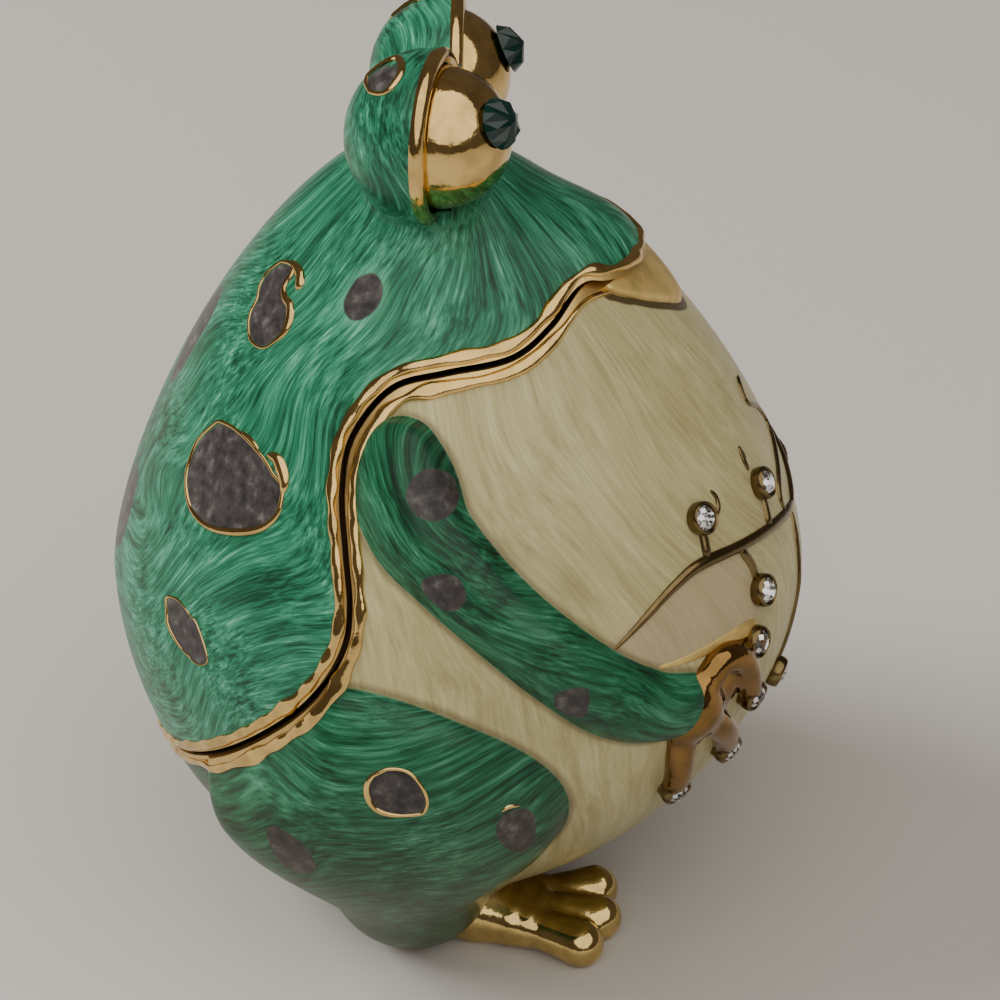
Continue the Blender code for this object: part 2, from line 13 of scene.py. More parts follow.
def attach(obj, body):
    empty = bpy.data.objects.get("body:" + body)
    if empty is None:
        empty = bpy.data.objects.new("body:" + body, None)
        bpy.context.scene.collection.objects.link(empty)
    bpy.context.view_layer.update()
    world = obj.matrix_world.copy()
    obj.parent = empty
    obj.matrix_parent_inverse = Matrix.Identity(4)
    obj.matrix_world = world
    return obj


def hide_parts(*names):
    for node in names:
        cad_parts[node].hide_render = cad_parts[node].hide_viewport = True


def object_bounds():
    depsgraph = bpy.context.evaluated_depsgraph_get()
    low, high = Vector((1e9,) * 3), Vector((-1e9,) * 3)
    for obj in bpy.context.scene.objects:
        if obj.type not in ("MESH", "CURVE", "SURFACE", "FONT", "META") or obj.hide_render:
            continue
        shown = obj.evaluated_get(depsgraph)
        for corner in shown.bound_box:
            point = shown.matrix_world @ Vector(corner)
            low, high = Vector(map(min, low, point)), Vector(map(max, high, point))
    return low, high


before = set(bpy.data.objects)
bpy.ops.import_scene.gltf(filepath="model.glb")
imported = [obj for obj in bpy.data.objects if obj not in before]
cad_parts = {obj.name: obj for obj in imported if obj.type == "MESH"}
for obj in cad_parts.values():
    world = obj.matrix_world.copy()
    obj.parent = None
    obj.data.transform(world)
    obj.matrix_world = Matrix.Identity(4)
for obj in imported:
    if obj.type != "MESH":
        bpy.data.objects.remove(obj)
solid_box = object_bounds()

MM = 0.001
RIGHT, LEFT = -1.0, 1.0
SIDES = {"right": RIGHT, "left": LEFT}

# Body, in millimetres, as in the part's own source
BODY_WIDTH, BODY_DEPTH, BODY_HEIGHT = 57.4, 60.3, 71.6
BELOW_GROUND = 1.2
WIDEST = BODY_HEIGHT * 0.448
CROWN_ROUNDNESS, BELLY_ROUNDNESS = 1.48, 1.83
LEAN, SWAY = -0.03, 0.190
END_WALL_FACTOR = 1.35
LID_WALL, BASE_WALL = 1.7, 2.8
LIP_WALL, LIP_HEIGHT = 2.0, 1.5
SEAM_GAP, RIM_SETBACK = 0.5, 0.1
BODY_SHARES = np.array((BODY_WIDTH / 2, BODY_DEPTH / 2, BODY_HEIGHT))
# How far pieces stay inside the solids' box, and the share of its half size from which they are drawn in
BOX_MARGIN, BOX_EASE = 0.002, 0.75
# Farther from the middle than any skin, in mm, and the block that cuts off what lies under the ground, in m
FAR_OUT, GROUND_BLOCK = 45.0, 0.4
LID_GRAIN, BASE_GRAIN, HAND_GRAIN, FOOT_GRAIN = 0.36, 0.38, 0.16, 0.20
# Rims: side of the seam, half width, seed of the waves, and how many points each way are evened out
RIMS = {"lid_rim": (1.0, 0.50, 3, 2), "base_rim": (-1.0, 0.55, 8, 6)}
RIM_HEIGHT = 0.34
BASE_RIM_TAPER = ((-12.0, -9.0, 13.0, 19.0), (0.35, 1.0, 1.0, 0.5))

# Seam in side view: shares of the half depth and of the body height
SEAM_POINTS = (
    (-0.803, 0.838), (-0.472, 0.854), (-0.378, 0.861), (-0.308, 0.837), (-0.217, 0.817), (-0.050, 0.808),
    (0.090, 0.792), (0.186, 0.744), (0.207, 0.691), (0.189, 0.630), (0.171, 0.572), (0.187, 0.524),
    (0.268, 0.464), (0.418, 0.394), (0.659, 0.296), (0.903, 0.209), (1.137, 0.140),
)

# Limbs: degrees from the front, share of the body height, share of the radius, share sunk
ARM_RADIUS, PALM_RADIUS, FINGER_RADIUS = 3.6, 3.3, 1.1
ARM_ROUTE = (
    (93.0, 0.731, 0.90, 0.30), (92.0, 0.700, 1.25, 0.55), (89.0, 0.659, 1.22, 0.55),
    (83.5, 0.622, 1.10, 0.48),
    (76.0, 0.573, 1.00, 0.42), (68.0, 0.521, 0.98, 0.40), (59.5, 0.469, 0.98, 0.38),
    (52.0, 0.434, 0.95, 0.35),
    (45.5, 0.420, 0.90, 0.33),
)
PALM_PLACE = (42.5, 0.407)
FINGER_ROUTES = (
    ((43.0, 0.440, 0.80, 0.2), (37.0, 0.462, 0.80, 0.2), (32.0, 0.459, 0.8, 0.1), (28.3, 0.456, 0.8, 0.0)),
    ((42.5, 0.425, 1.20, 0.0), (38.0, 0.461, 1.15, -0.4), (32.5, 0.445, 1.1, -0.5), (27.3, 0.380, 1.0, -0.3)),
    ((42.0, 0.400, 1.25, 0.0), (37.0, 0.375, 1.20, -0.5), (32.0, 0.339, 1.1, -0.5), (27.5, 0.298, 1.0, -0.3)),
    ((44.0, 0.385, 1.20, 0.0), (43.0, 0.342, 1.15, -0.3), (41.3, 0.308, 1.1, -0.4), (40.2, 0.279, 1.0, -0.3)),
)
# Webs between the fingers: degrees from the front, height share, radius, rise
PALM_PADS = ((35.5, 0.412, 4.2, 0.75), (40.5, 0.360, 3.4, 0.65))
FLUSH_STEP, RISE_FROM_SEAM = 0.15, 0.85
HAUNCH = ((0.787, 0.108, 0.320), (0.305, 0.520, 0.186), 10.0)
SHIN = ((0.465, 0.075, 0.075), (0.235, 0.212, 0.078), 0.0)
# Where haunch and lower leg meet, green all over: centre and half sizes
CALF = ((18.0, 4.0, 10.0), (10.0, 10.5, 6.0))
# How far the green coat passes each limb, and the plane behind which the base is green
ARM_COAT, LEG_COAT, SHIN_COAT = 0.18, 0.25, 0.9
GREEN_BACK, GREEN_BACK_LEAN = 8.5, 0.03
TOE_RADIUS, TOE_LIFT = 2.1, 0.80
ANKLE, ANKLE_RADIUS = (0.450, -0.100), TOE_RADIUS * 1.45
TOE_TIPS = ((0.568, -0.425), (0.432, -0.465), (0.286, -0.441))

# Face
EYE_RADIUS, EYE_SPACING, EYE_RISE, EYE_BACK = 7.0, 13.0, 1.9, 1.0
EYELID_RADIUS, EYELID_YAW = 0.7, 6.0
EYEBALL_RADIUS = 5.7
EYEBALL_FORWARD = {"right": 0.8, "left": -0.9}
GAZE_YAW, GAZE_PITCH = {"right": 22.0, "left": 8.0}, 23.0
MOUND_FRONT, SOCKET_RADIUS, SOCKET_DEPTH = 0.5, 6.0, 1.3
SNOUT_CENTRE, SNOUT_SIZE = (-0.330, 0.838), (0.230, 0.180, 0.062)

# Vine on the belly, and the stones
VINE_RADIUS = 0.45
VINE_ROUTE = (
    (58.5, 0.514, 0.5, 0.0), (49.6, 0.549, 0.8, 0.0), (43.6, 0.567, 1.0, 0.0), (37.1, 0.575, 1.2, 0.0),
    (25.9, 0.567, 1.1, 0.0), (14.1, 0.554, 1.1, 0.0), (4.5, 0.540, 1.0, 0.0), (-2.0, 0.531, 0.9, 0.0),
)
SHOOT_ROUTES = {
    "right": (
        ((35.6, 0.577, 1.1, 0.0), (34.9, 0.603, 1.0, 0.0), (34.6, 0.620, 1.0, 0.0)),
        ((15.6, 0.557, 1.1, 0.0), (14.0, 0.585, 0.9, 0.0), (13.5, 0.604, 0.9, 0.0)),
        ((27.0, 0.566, 1.0, 0.0), (25.0, 0.541, 1.0, 0.0), (24.5, 0.508, 1.0, 0.0)),
    ),
    "left": (
        ((50.5, 0.549, 1.0, 0.0), (55.0, 0.577, 0.9, 0.0), (57.5, 0.600, 0.9, 0.0)),
        ((27.0, 0.566, 1.0, 0.0), (25.0, 0.541, 1.0, 0.0), (24.5, 0.508, 1.0, 0.0)),
    ),
}
MIDDLE_SHOOT = (
    (2.0, 0.533, 0.9, 0.0), (7.0, 0.440, 0.8, 0.0), (8.5, 0.380, 0.9, 0.0), (7.5, 0.328, 0.9, 0.0),
)
STONE_RADIUS, STONE_HEIGHT = 1.05, 1.1
STONE_LIFT = 0.9
EYE_STONE_RADIUS, EYE_STONE_HEIGHT = 2.1, 2.2

# Spots in side view, as (y, z) outlines, the same on both sides
LID_SPOTS = {
    "shoulder": (
        (13.4, 62.1), (12.3, 62.4), (12.2, 62.0), (12.8, 61.0), (12.7, 60.4), (12.2, 60.1), (12.2, 59.3),
        (12.6, 58.4),
        (13.4, 57.5), (14.2, 57.0), (15.2, 57.0), (15.6, 57.6), (15.6, 58.4), (15.1, 59.4), (15.0, 60.2),
        (14.3, 61.3),
    ),
    "neck": (
        (5.4, 63.7), (4.6, 63.6), (4.1, 62.9), (4.2, 62.1), (4.8, 61.3), (5.8, 60.7), (6.8, 60.7),
        (7.3, 61.5),
        (6.9, 62.5), (6.3, 63.3),
    ),
    "flank": (
        (17.8, 50.6), (16.9, 50.9), (15.7, 50.9), (14.3, 50.5), (13.1, 49.9), (12.3, 49.2), (11.5, 48.7),
        (11.5, 47.6),
        (11.9, 46.5), (13.1, 45.4), (15.1, 44.5), (17.2, 43.8), (18.7, 43.7), (19.8, 44.2), (20.3, 45.2),
        (20.3, 46.4),
        (19.7, 48.2), (18.9, 49.4),
    ),
    "rump": (
        (21.8, 36.1), (20.6, 36.7), (19.4, 36.2), (18.7, 35.8), (17.8, 34.1), (17.7, 33.1), (18.6, 32.5),
        (19.6, 32.8),
        (20.6, 33.3), (21.6, 34.4),
    ),
    "eye": (
        (5.9, 78.3), (5.8, 78.6), (4.8, 79.4), (3.6, 79.9), (3.2, 79.8), (3.4, 79.4), (4.2, 78.7),
        (5.3, 78.3),
    ),
}
BASE_SPOTS = {
    "upper_arm": (
        (-3.3, 50.0), (-3.0, 49.3), (-2.1, 49.0), (-0.9, 49.2), (0.2, 49.9), (0.7, 51.0), (0.3, 52.0),
        (-0.6, 52.5),
        (-1.8, 52.1), (-2.8, 51.1),
    ),
    "elbow": (
        (-0.9, 44.7), (-2.2, 45.3), (-3.4, 45.2), (-4.2, 44.4), (-4.4, 43.5), (-3.8, 42.5), (-2.8, 42.1),
        (-1.9, 42.4),
        (-1.1, 43.2), (-0.7, 43.9),
    ),
    "forearm": (
        (-11.4, 35.0), (-12.3, 35.7), (-14.0, 35.7), (-14.2, 34.2), (-13.7, 32.7), (-12.4, 32.6),
        (-11.4, 33.7),
    ),
    "haunch": (
        (1.7, 28.9), (0.5, 28.9), (-0.4, 28.4), (-1.2, 27.2), (-1.5, 26.1), (-1.2, 25.2), (-0.3, 25.0),
        (1.1, 25.0),
        (2.3, 25.4), (3.0, 26.4), (3.1, 27.5), (2.6, 28.4),
    ),
    "knee": (
        (-8.8, 24.3), (-9.7, 23.5), (-10.0, 21.7), (-9.6, 19.5), (-8.4, 19.3), (-7.3, 21.0), (-6.9, 22.8),
        (-7.6, 24.1),
    ),
    "hip": (
        (12.1, 20.7), (11.3, 21.8), (10.0, 21.6), (8.6, 20.4), (7.9, 18.3), (8.5, 16.9), (10.3, 16.5),
        (11.6, 18.2),
    ),
}
# Spots on the back, seen from behind: centre, half width and half height in x and z, lean in degrees
BACK_SPOTS = (
    (-3.0, 53.2, 2.3, 4.3, 18.0), (-6.4, 37.6, 3.1, 3.8, -12.0), (8.5, 44.5, 2.6, 3.4, 25.0),
    (3.4, 29.5, 2.2, 2.6, 0.0),
)
# Gold wires around spots: thinnest and thickest half width, and which way in (y, z) the thick part lies
LID_WIRES = {
    "shoulder": (0.14, 0.42, (-0.95, 0.1)), "flank": (0.17, 0.34, (-0.4, -0.9)),
    "rump": (0.07, 0.16, (1.0, 0.1)),
    "eye": (0.20, 0.36, (-0.7, 0.5)),
}
BASE_WIRES = {"haunch": (0.15, 0.28, (0.9, -0.2))}
GOLD_DROPS = (
    ((12.4, 62.7, 0.25), (11.5, 62.4, 0.42), (11.3, 61.8, 0.45), (11.6, 61.3, 0.22)),
    ((12.9, 50.4, 0.25), (12.0, 50.4, 0.48), (11.5, 49.8, 0.55), (11.2, 49.0, 0.45), (11.3, 48.1, 0.22)),
    ((15.5, 51.1, 0.18), (14.5, 50.9, 0.24), (13.7, 50.5, 0.22)),
)
KNEE_DROP = ((-7.4, 24.4, 0.10), (-8.0, 24.7, 0.20), (-8.8, 24.5, 0.08))
LEAF_FIELD = (
    (-15.2, 37.4), (-17.7, 38.9), (-20.6, 40.8), (-22.4, 41.2), (-25.5, 40.2), (-26.9, 37.0),
    (-26.8, 34.8), (-26.3, 33.5),
    (-24.0, 34.1), (-21.7, 34.3), (-19.0, 34.6), (-17.1, 35.8),
)
# Loose ends of the vine, curling on past the stones
TENDRILS = (
    ((34.2, 0.601, 0.8, 0.0), (31.2, 0.611, 0.7, 0.0), (28.8, 0.618, 0.6, 0.0), (28.2, 0.629, 0.5, 0.0),
    (29.0, 0.639, 0.4, 0.0)),
    ((14.9, 0.625, 0.7, 0.0), (14.4, 0.650, 0.5, 0.0), (13.5, 0.636, 0.4, 0.0)),
    ((6.1, 0.545, 0.8, 0.0), (6.1, 0.567, 0.8, 0.0), (-0.2, 0.585, 0.8, 0.0), (-6.4, 0.598, 0.8, 0.0),
    (-9.7, 0.613, 0.7, 0.0),
     (-7.0, 0.640, 0.7, 0.0), (-1.3, 0.664, 0.6, 0.0), (-4.8, 0.680, 0.6, 0.0), (-8.8, 0.676, 0.5, 0.0)),
)
GOLD_BAND = (
    (52.0, 0.484, 0.2, 0.0), (46.0, 0.480, 0.6, 0.0), (40.0, 0.479, 1.0, 0.0), (35.0, 0.477, 1.5, 0.0),
    (30.0, 0.473, 2.0, 0.0), (26.5, 0.469, 1.6, 0.0),
)
# Gold lip under the mouth: degrees from the front, and the height share of its lower edge
CHIN_EDGE = (
    (25.0, 0.847), (24.0, 0.843), (20.0, 0.833), (16.5, 0.827), (10.3, 0.813), (2.5, 0.797),
    (-3.4, 0.784), (-9.5, 0.776), (-13.5, 0.783), (-17.5, 0.808), (-20.0, 0.832), (-21.5, 0.847),
)
CHIN_TOP, CHIN_RAISE = 0.8475, 0.8


def smooth_through(points, steps):
    """Points on a Catmull-Rom curve through rows of numbers."""
    rows = np.array(points, float)
    padded = np.vstack((rows[:1], rows, rows[-1:]))
    found = []
    for before, start, end, after in zip(padded, padded[1:], padded[2:], padded[3:]):
        for t in np.arange(steps) / steps:
            bend = 2 * before - 5 * start + 4 * end - after
            twist = 3 * start - before - 3 * end + after
            found.append(0.5 * (2 * start + (end - before) * t + bend * t**2 + twist * t**3))
    return np.array(found + [rows[-1]])


def length_of(rows):
    return np.linalg.norm(rows, axis=-1)


def unit(rows):
    return rows / np.maximum(length_of(rows), 1e-12)[..., None]


def egg_middle(height):
    share = (height - WIDEST) / BODY_HEIGHT
    return BODY_HEIGHT * (LEAN * share + SWAY * share * share)


def egg_reach(above, inset=0.0):
    """How far the egg reaches from its widest height to its end, and how round it is there."""
    end_inset = inset * END_WALL_FACTOR
    reach = np.where(above, BODY_HEIGHT - end_inset - WIDEST, WIDEST + BELOW_GROUND - end_inset)
    return reach, np.where(above, CROWN_ROUNDNESS, BELLY_ROUNDNESS)

def egg_value(points):
    """Under 0 inside the egg and over 0 outside it."""
    across, along, height = points.T
    reach, roundness = egg_reach(height > WIDEST)
    rise = np.abs(height - WIDEST) / reach
    sideways = np.hypot(across / (BODY_WIDTH / 2), (along - egg_middle(height)) / (BODY_DEPTH / 2))
    return (sideways**roundness + rise**roundness) ** (1 / roundness) - 1

def slope_of(field, points, step=0.02):
    """Which way a field rises, and how steeply."""
    rises = [field(points + shift) - field(points - shift) for shift in np.eye(3) * step]
    return np.stack(rises, axis=-1) / (2 * step)


def egg_distance(points):
    """Millimetres from the egg's skin, by its value over its steepness."""
    across, along, height = points.T
    reach, roundness = egg_reach(height > WIDEST)
    rise = np.maximum(np.abs(height - WIDEST) / reach, 1e-6)
    shifted = along - egg_middle(height)
    sideways = np.maximum(np.hypot(across / (BODY_WIDTH / 2), shifted / (BODY_DEPTH / 2)), 1e-6)
    value = (sideways**roundness + rise**roundness) ** (1 / roundness)
    outward = (sideways / value) ** (roundness - 1) / sideways
    slope_x = outward * across / (BODY_WIDTH / 2) ** 2
    slope_y = outward * shifted / (BODY_DEPTH / 2) ** 2
    drift = LEAN + 2 * SWAY * (height - WIDEST) / BODY_HEIGHT
    slope_z = (rise / value) ** (roundness - 1) * np.sign(height - WIDEST) / reach - slope_y * drift
    return (value - 1) / np.sqrt(slope_x**2 + slope_y**2 + slope_z**2)


def egg_point(side, turn, height):
    """A point of the egg at an angle from the front, in degrees, towards one side."""
    above = height > WIDEST
    reach = BODY_HEIGHT - WIDEST if above else WIDEST + BELOW_GROUND
    roundness = CROWN_ROUNDNESS if above else BELLY_ROUNDNESS
    rise = min(1.0, abs(height - WIDEST) / reach)
    share = (1 - rise**roundness) ** (1 / roundness)
    angle = math.radians(turn)
    across = side * BODY_WIDTH / 2 * share * math.sin(angle)
    return np.array((across, egg_middle(height) - BODY_DEPTH / 2 * share * math.cos(angle), height))


def skin(side, turn, height_share, out=0.0):
    """A point at or above the egg's skin, and the outward normal there."""
    place = egg_point(side, turn, BODY_HEIGHT * height_share)
    outward = unit(slope_of(egg_value, place[None]))[0]
    return place + outward * out, outward


def route_on_skin(side, route, radius, steps):
    """Points, normals and radii along the skin through (turn, height share, radius share, share sunk)."""
    rows = smooth_through(route, steps)
    placed = [skin(side, turn, share, -sunk * radius) for turn, share, _, sunk in rows]
    return np.array([p for p, _ in placed]), np.array([n for _, n in placed]), rows[:, 2] * radius


def ball_form(centre, sizes, tilt=0.0):
    """How far points are from an ellipsoid tilted about the Y axis by degrees."""
    centre, sizes = np.array(centre, float), np.array(sizes, float)
    turned = np.array(Matrix.Rotation(math.radians(tilt), 3, "Y"))

    def distance(points):
        local = (points - centre) @ turned
        near, steep = length_of(local / sizes), length_of(local / sizes**2)
        return near * (near - 1) / np.maximum(steep, 1e-6)

    return distance


def tube_form(points, radii):
    """How far points are from a tube of changing radius, up to the reach beyond which it doesn't matter."""
    reach = 3.0
    low = points.min(axis=0) - max(radii) - reach
    high = points.max(axis=0) + max(radii) + reach

    def distance(places):
        near = np.flatnonzero(((places > low) & (places < high)).all(axis=1))
        local = places[near]
        nearest = np.full(len(near), reach)
        for start, end, first, last in zip(points, points[1:], radii, radii[1:]):
            run = end - start
            along = np.clip((local - start) @ run / (run @ run), 0, 1)
            gap = length_of(local - start - along[:, None] * run) - first - (last - first) * along
            nearest = np.minimum(nearest, gap)
        result = np.full(len(places), reach)
        result[near] = nearest
        return result

    return distance


def smooth_least(first, second, softness):
    """The smaller of two distances, with a fillet where they meet."""
    overlap = np.maximum(softness - np.abs(first - second), 0) / softness
    return np.minimum(first, second) - overlap**2 * softness / 4


def blend_of(forms):
    """One field from (form, fillet) pairs."""

    def distance(points):
        total = forms[0][0](points)
        for form, softness in forms[1:]:
            total = smooth_least(total, form(points), softness)
        return total

    return distance


def deselect():
    bpy.ops.object.select_all(action="DESELECT")


def take(piece):
    """Selects one piece alone and makes it the active one."""
    deselect()
    piece.select_set(True)
    bpy.context.view_layer.objects.active = piece

def settle(piece):
    """Puts a piece's place into its mesh, so that its object sits unturned at the origin."""
    take(piece)
    bpy.ops.object.transform_apply(location=True, rotation=True, scale=True)
    return piece


def points_of(piece):
    co = np.empty(len(piece.data.vertices) * 3, np.float32)
    piece.data.vertices.foreach_get("co", co)
    return co.reshape(-1, 3).astype(float) / MM


def set_points(piece, points):
    piece.data.vertices.foreach_set("co", (points * MM).astype(np.float32).ravel())
    piece.data.update()


def rough_egg(inset, segments, rings):
    bpy.ops.mesh.primitive_uv_sphere_add(segments=segments, ring_count=rings, radius=MM)
    piece = bpy.context.object
    points = points_of(piece)
    reach, roundness = egg_reach(points[:, 2] > 0, inset)
    flat = np.hypot(points[:, 0], points[:, 1])
    share = np.clip(flat, 0, 1) ** (2 / roundness)
    height = WIDEST + np.sign(points[:, 2]) * np.clip(np.abs(points[:, 2]), 0, 1) ** (2 / roundness) * reach
    direction = points[:, :2] / np.maximum(flat, 1e-9)[:, None]
    across = direction[:, 0] * (BODY_WIDTH / 2 - inset) * share
    along = egg_middle(height) + direction[:, 1] * (BODY_DEPTH / 2 - inset) * share
    set_points(piece, np.stack((across, along, height), axis=-1))
    return piece


def rough_ball(centre, sizes, tilt=0.0):
    bpy.ops.mesh.primitive_uv_sphere_add(segments=24, ring_count=14, radius=1.0)
    piece = bpy.context.object
    piece.scale = Vector(sizes) * MM
    piece.rotation_euler.y = math.radians(tilt)
    piece.location = Vector(centre) * MM
    return settle(piece)


def rough_tube(points, radii):
    """Overlapping balls along a route, close enough for a remesh to fuse them."""
    balls = []
    for point, radius in zip(points, radii):
        bpy.ops.mesh.primitive_ico_sphere_add(subdivisions=2, radius=radius * MM, location=Vector(point) * MM)
        balls.append(bpy.context.object)
    return joined(balls)


def joined(pieces):
    deselect()
    for piece in pieces:
        piece.select_set(True)
    bpy.context.view_layer.objects.active = pieces[0]
    bpy.ops.object.join()
    return settle(bpy.context.object)


def apply_all(piece):
    bpy.context.view_layer.objects.active = piece
    for modifier in list(piece.modifiers):
        bpy.ops.object.modifier_apply(modifier=modifier.name)


def cast(name, rough_shapes, field, grain):
    """Fuses rough shapes into one skin, and draws every point onto the smooth cast form."""
    piece = joined(rough_shapes)
    piece.name = piece.data.name = name
    remesh = piece.modifiers.new("fuse", "REMESH")
    remesh.mode = "VOXEL"
    remesh.voxel_size = grain * MM
    apply_all(piece)
    points = points_of(piece)
    for _ in range(6):
        slope = slope_of(field, points)
        steepness = np.maximum(length_of(slope), 0.3)
        step = np.clip(field(points) / steepness, -grain * 2, grain * 2)
        points -= unit(slope) * step[:, None]
    set_points(piece, points)
    return piece


def boolean(piece, operation, cutter):
    modifier = piece.modifiers.new(operation.lower(), "BOOLEAN")
    modifier.operation = operation
    modifier.solver = "MANIFOLD"
    modifier.object = cutter
    apply_all(piece)
    bpy.data.objects.remove(cutter)


def cut_at_ground(piece):
    bpy.ops.mesh.primitive_cube_add(size=GROUND_BLOCK, location=(0.0, 0.0, -GROUND_BLOCK / 2))
    boolean(piece, "DIFFERENCE", bpy.context.object)

def mesh_piece(name, points, faces):
    mesh = bpy.data.meshes.new(name)
    mesh.from_pydata([tuple(p) for p in np.asarray(points) * MM], [], faces)
    piece = bpy.data.objects.new(name, mesh)
    bpy.context.scene.collection.objects.link(piece)
    return piece


def seam_line(shift, steps=8):
    """The seam in side view as (y, z) rows, moved towards the lid by a shift."""
    line = smooth_through(SEAM_POINTS, steps) * (BODY_DEPTH / 2, BODY_HEIGHT)
    run = unit(np.gradient(line, axis=0))
    return line + np.stack((-run[:, 1], run[:, 0]), axis=-1) * shift


def lid_side(shift):
    """All that lies on the lid's side of the seam, as a solid across the whole width."""
    line = seam_line(shift)
    far, above = BODY_DEPTH, BODY_HEIGHT * 1.5
    outline = np.vstack((line, ((far, line[-1, 1]), (far, above), (line[0, 0], above))))
    count = len(outline)
    points = [(x, y, z) for x in (-BODY_WIDTH, BODY_WIDTH) for y, z in outline]
    faces = [tuple(range(count)), tuple(range(2 * count - 1, count - 1, -1))]
    for i in range(count):
        following = (i + 1) % count
        faces.append((i, i + count, following + count, following))
    return turn_outward(mesh_piece("lid_side", points, faces))


def sweep(name, points, normals, widths, heights, closed=False, sides=10):
    """A bead of oval section along a route, its width lying on the skin."""
    count = len(points)
    if closed:
        runs = np.roll(points, -1, axis=0) - np.roll(points, 1, axis=0)
    else:
        runs = np.gradient(points, axis=0)
    across = unit(np.cross(unit(runs), normals))
    angles = np.arange(sides) / sides * 2 * math.pi
    rings = (
        points[:, None]
        + across[:, None] * (np.asarray(widths)[:, None] * np.cos(angles))[..., None]
        + normals[:, None] * (np.asarray(heights)[:, None] * np.sin(angles))[..., None]
    )
    faces = []
    for i in range(count if closed else count - 1):
        first, second = i * sides, (i + 1) % count * sides
        for j in range(sides):
            k = (j + 1) % sides
            faces.append((first + j, first + k, second + k, second + j))
    if not closed:
        faces.append(tuple(range(sides - 1, -1, -1)))
        faces.append(tuple(range((count - 1) * sides, count * sides)))
    return mesh_piece(name, rings.reshape(-1, 3), faces)


def tapered(values, tip=0.25):
    """Draws a wire's radii in towards its two ends."""
    share = np.minimum(np.arange(len(values)), np.arange(len(values))[::-1]) / max(3, len(values) * 0.12)
    return values * (tip + (1 - tip) * np.clip(share, 0, 1) ** 0.5)


def turn_outward(piece):
    take(piece)
    bpy.ops.object.mode_set(mode="EDIT")
    bpy.ops.mesh.select_all(action="SELECT")
    bpy.ops.mesh.normals_make_consistent(inside=False)
    bpy.ops.object.mode_set(mode="OBJECT")
    return piece


def facing(point, direction):
    """A matrix that stands a thing's Z axis along a direction at a point, in metres."""
    turn = Vector(direction).to_track_quat("Z", "Y").to_matrix().to_4x4()
    return Matrix.Translation(Vector(point) * MM) @ turn


def closed_curve(outline, steps=6):
    rows = np.array(outline, float)
    return smooth_through(np.vstack((rows[-2:], rows, rows[:2])), steps)[2 * steps:-2 * steps]


def outline_depth(places, outline):
    """How far flat places lie inside an outline; negative outside it."""
    corners = closed_curve(outline)
    depth = np.full(len(places), -5.0)
    low, high = corners.min(axis=0) - 2, corners.max(axis=0) + 2
    near = np.flatnonzero(((places > low) & (places < high)).all(axis=1))
    local = places[near]
    nearest = np.full(len(near), 5.0)
    inside = np.zeros(len(near), bool)
    for start, end in zip(corners, np.roll(corners, -1, axis=0)):
        run = end - start
        if run @ run < 1e-9:
            continue
        along = np.clip((local - start) @ run / (run @ run), 0, 1)
        nearest = np.minimum(nearest, length_of(local - start - along[:, None] * run))
        crosses = (start[1] > local[:, 1]) != (end[1] > local[:, 1])
        if abs(run[1]) > 1e-9:
            inside ^= crosses & (local[:, 0] < start[0] + run[0] * (local[:, 1] - start[1]) / run[1])
    depth[near] = np.where(inside, nearest, -nearest)
    return depth


def side_points(field, side_view, side):
    """The points of a form's skin, on one side, that have the given (y, z)."""
    low = np.where(side_view[:, 1] > BODY_HEIGHT + 1, EYE_SPACING / 2, 0.0)
    high = np.full(len(side_view), FAR_OUT)
    for _ in range(40):
        centre = (low + high) / 2
        within = field(np.column_stack((side * centre, side_view))) < 0
        low, high = np.where(within, centre, low), np.where(within, high, centre)
    points = np.column_stack((side * low, side_view))
    return points, unit(slope_of(field, points))


# Forms of the lid: egg, snout, eye mounds with a recess in front, and the flesh between them
eye_centres, eye_aheads = {}, {}
for label, side in SIDES.items():
    eye_centres[label] = np.array((side * EYE_SPACING / 2, EYE_BACK, BODY_HEIGHT + EYE_RISE))
    yaw = math.radians(EYELID_YAW)
    eye_aheads[label] = np.array((side * math.sin(yaw), -math.cos(yaw), 0.0))


def mound_form(label):
    """An eye mound, cut off flat in front where its gold lid sits."""
    whole = ball_form(eye_centres[label], (EYE_RADIUS,) * 3)

    def distance(points):
        ahead = (points - eye_centres[label]) @ eye_aheads[label]
        return np.maximum(whole(points), ahead - MOUND_FRONT)

    return distance


snout = ball_form(np.array((0.0, *SNOUT_CENTRE)) * BODY_SHARES, np.array(SNOUT_SIZE) * BODY_SHARES)
brow = ball_form((0.0, EYE_BACK, BODY_HEIGHT), (EYE_SPACING * 0.25, EYE_RADIUS * 0.65, EYE_RISE))
lid_field = blend_of((
    (egg_distance, 0.0), (snout, 4.0), (mound_form("right"), 2.2), (mound_form("left"), 2.2), (brow, 1.0),
))

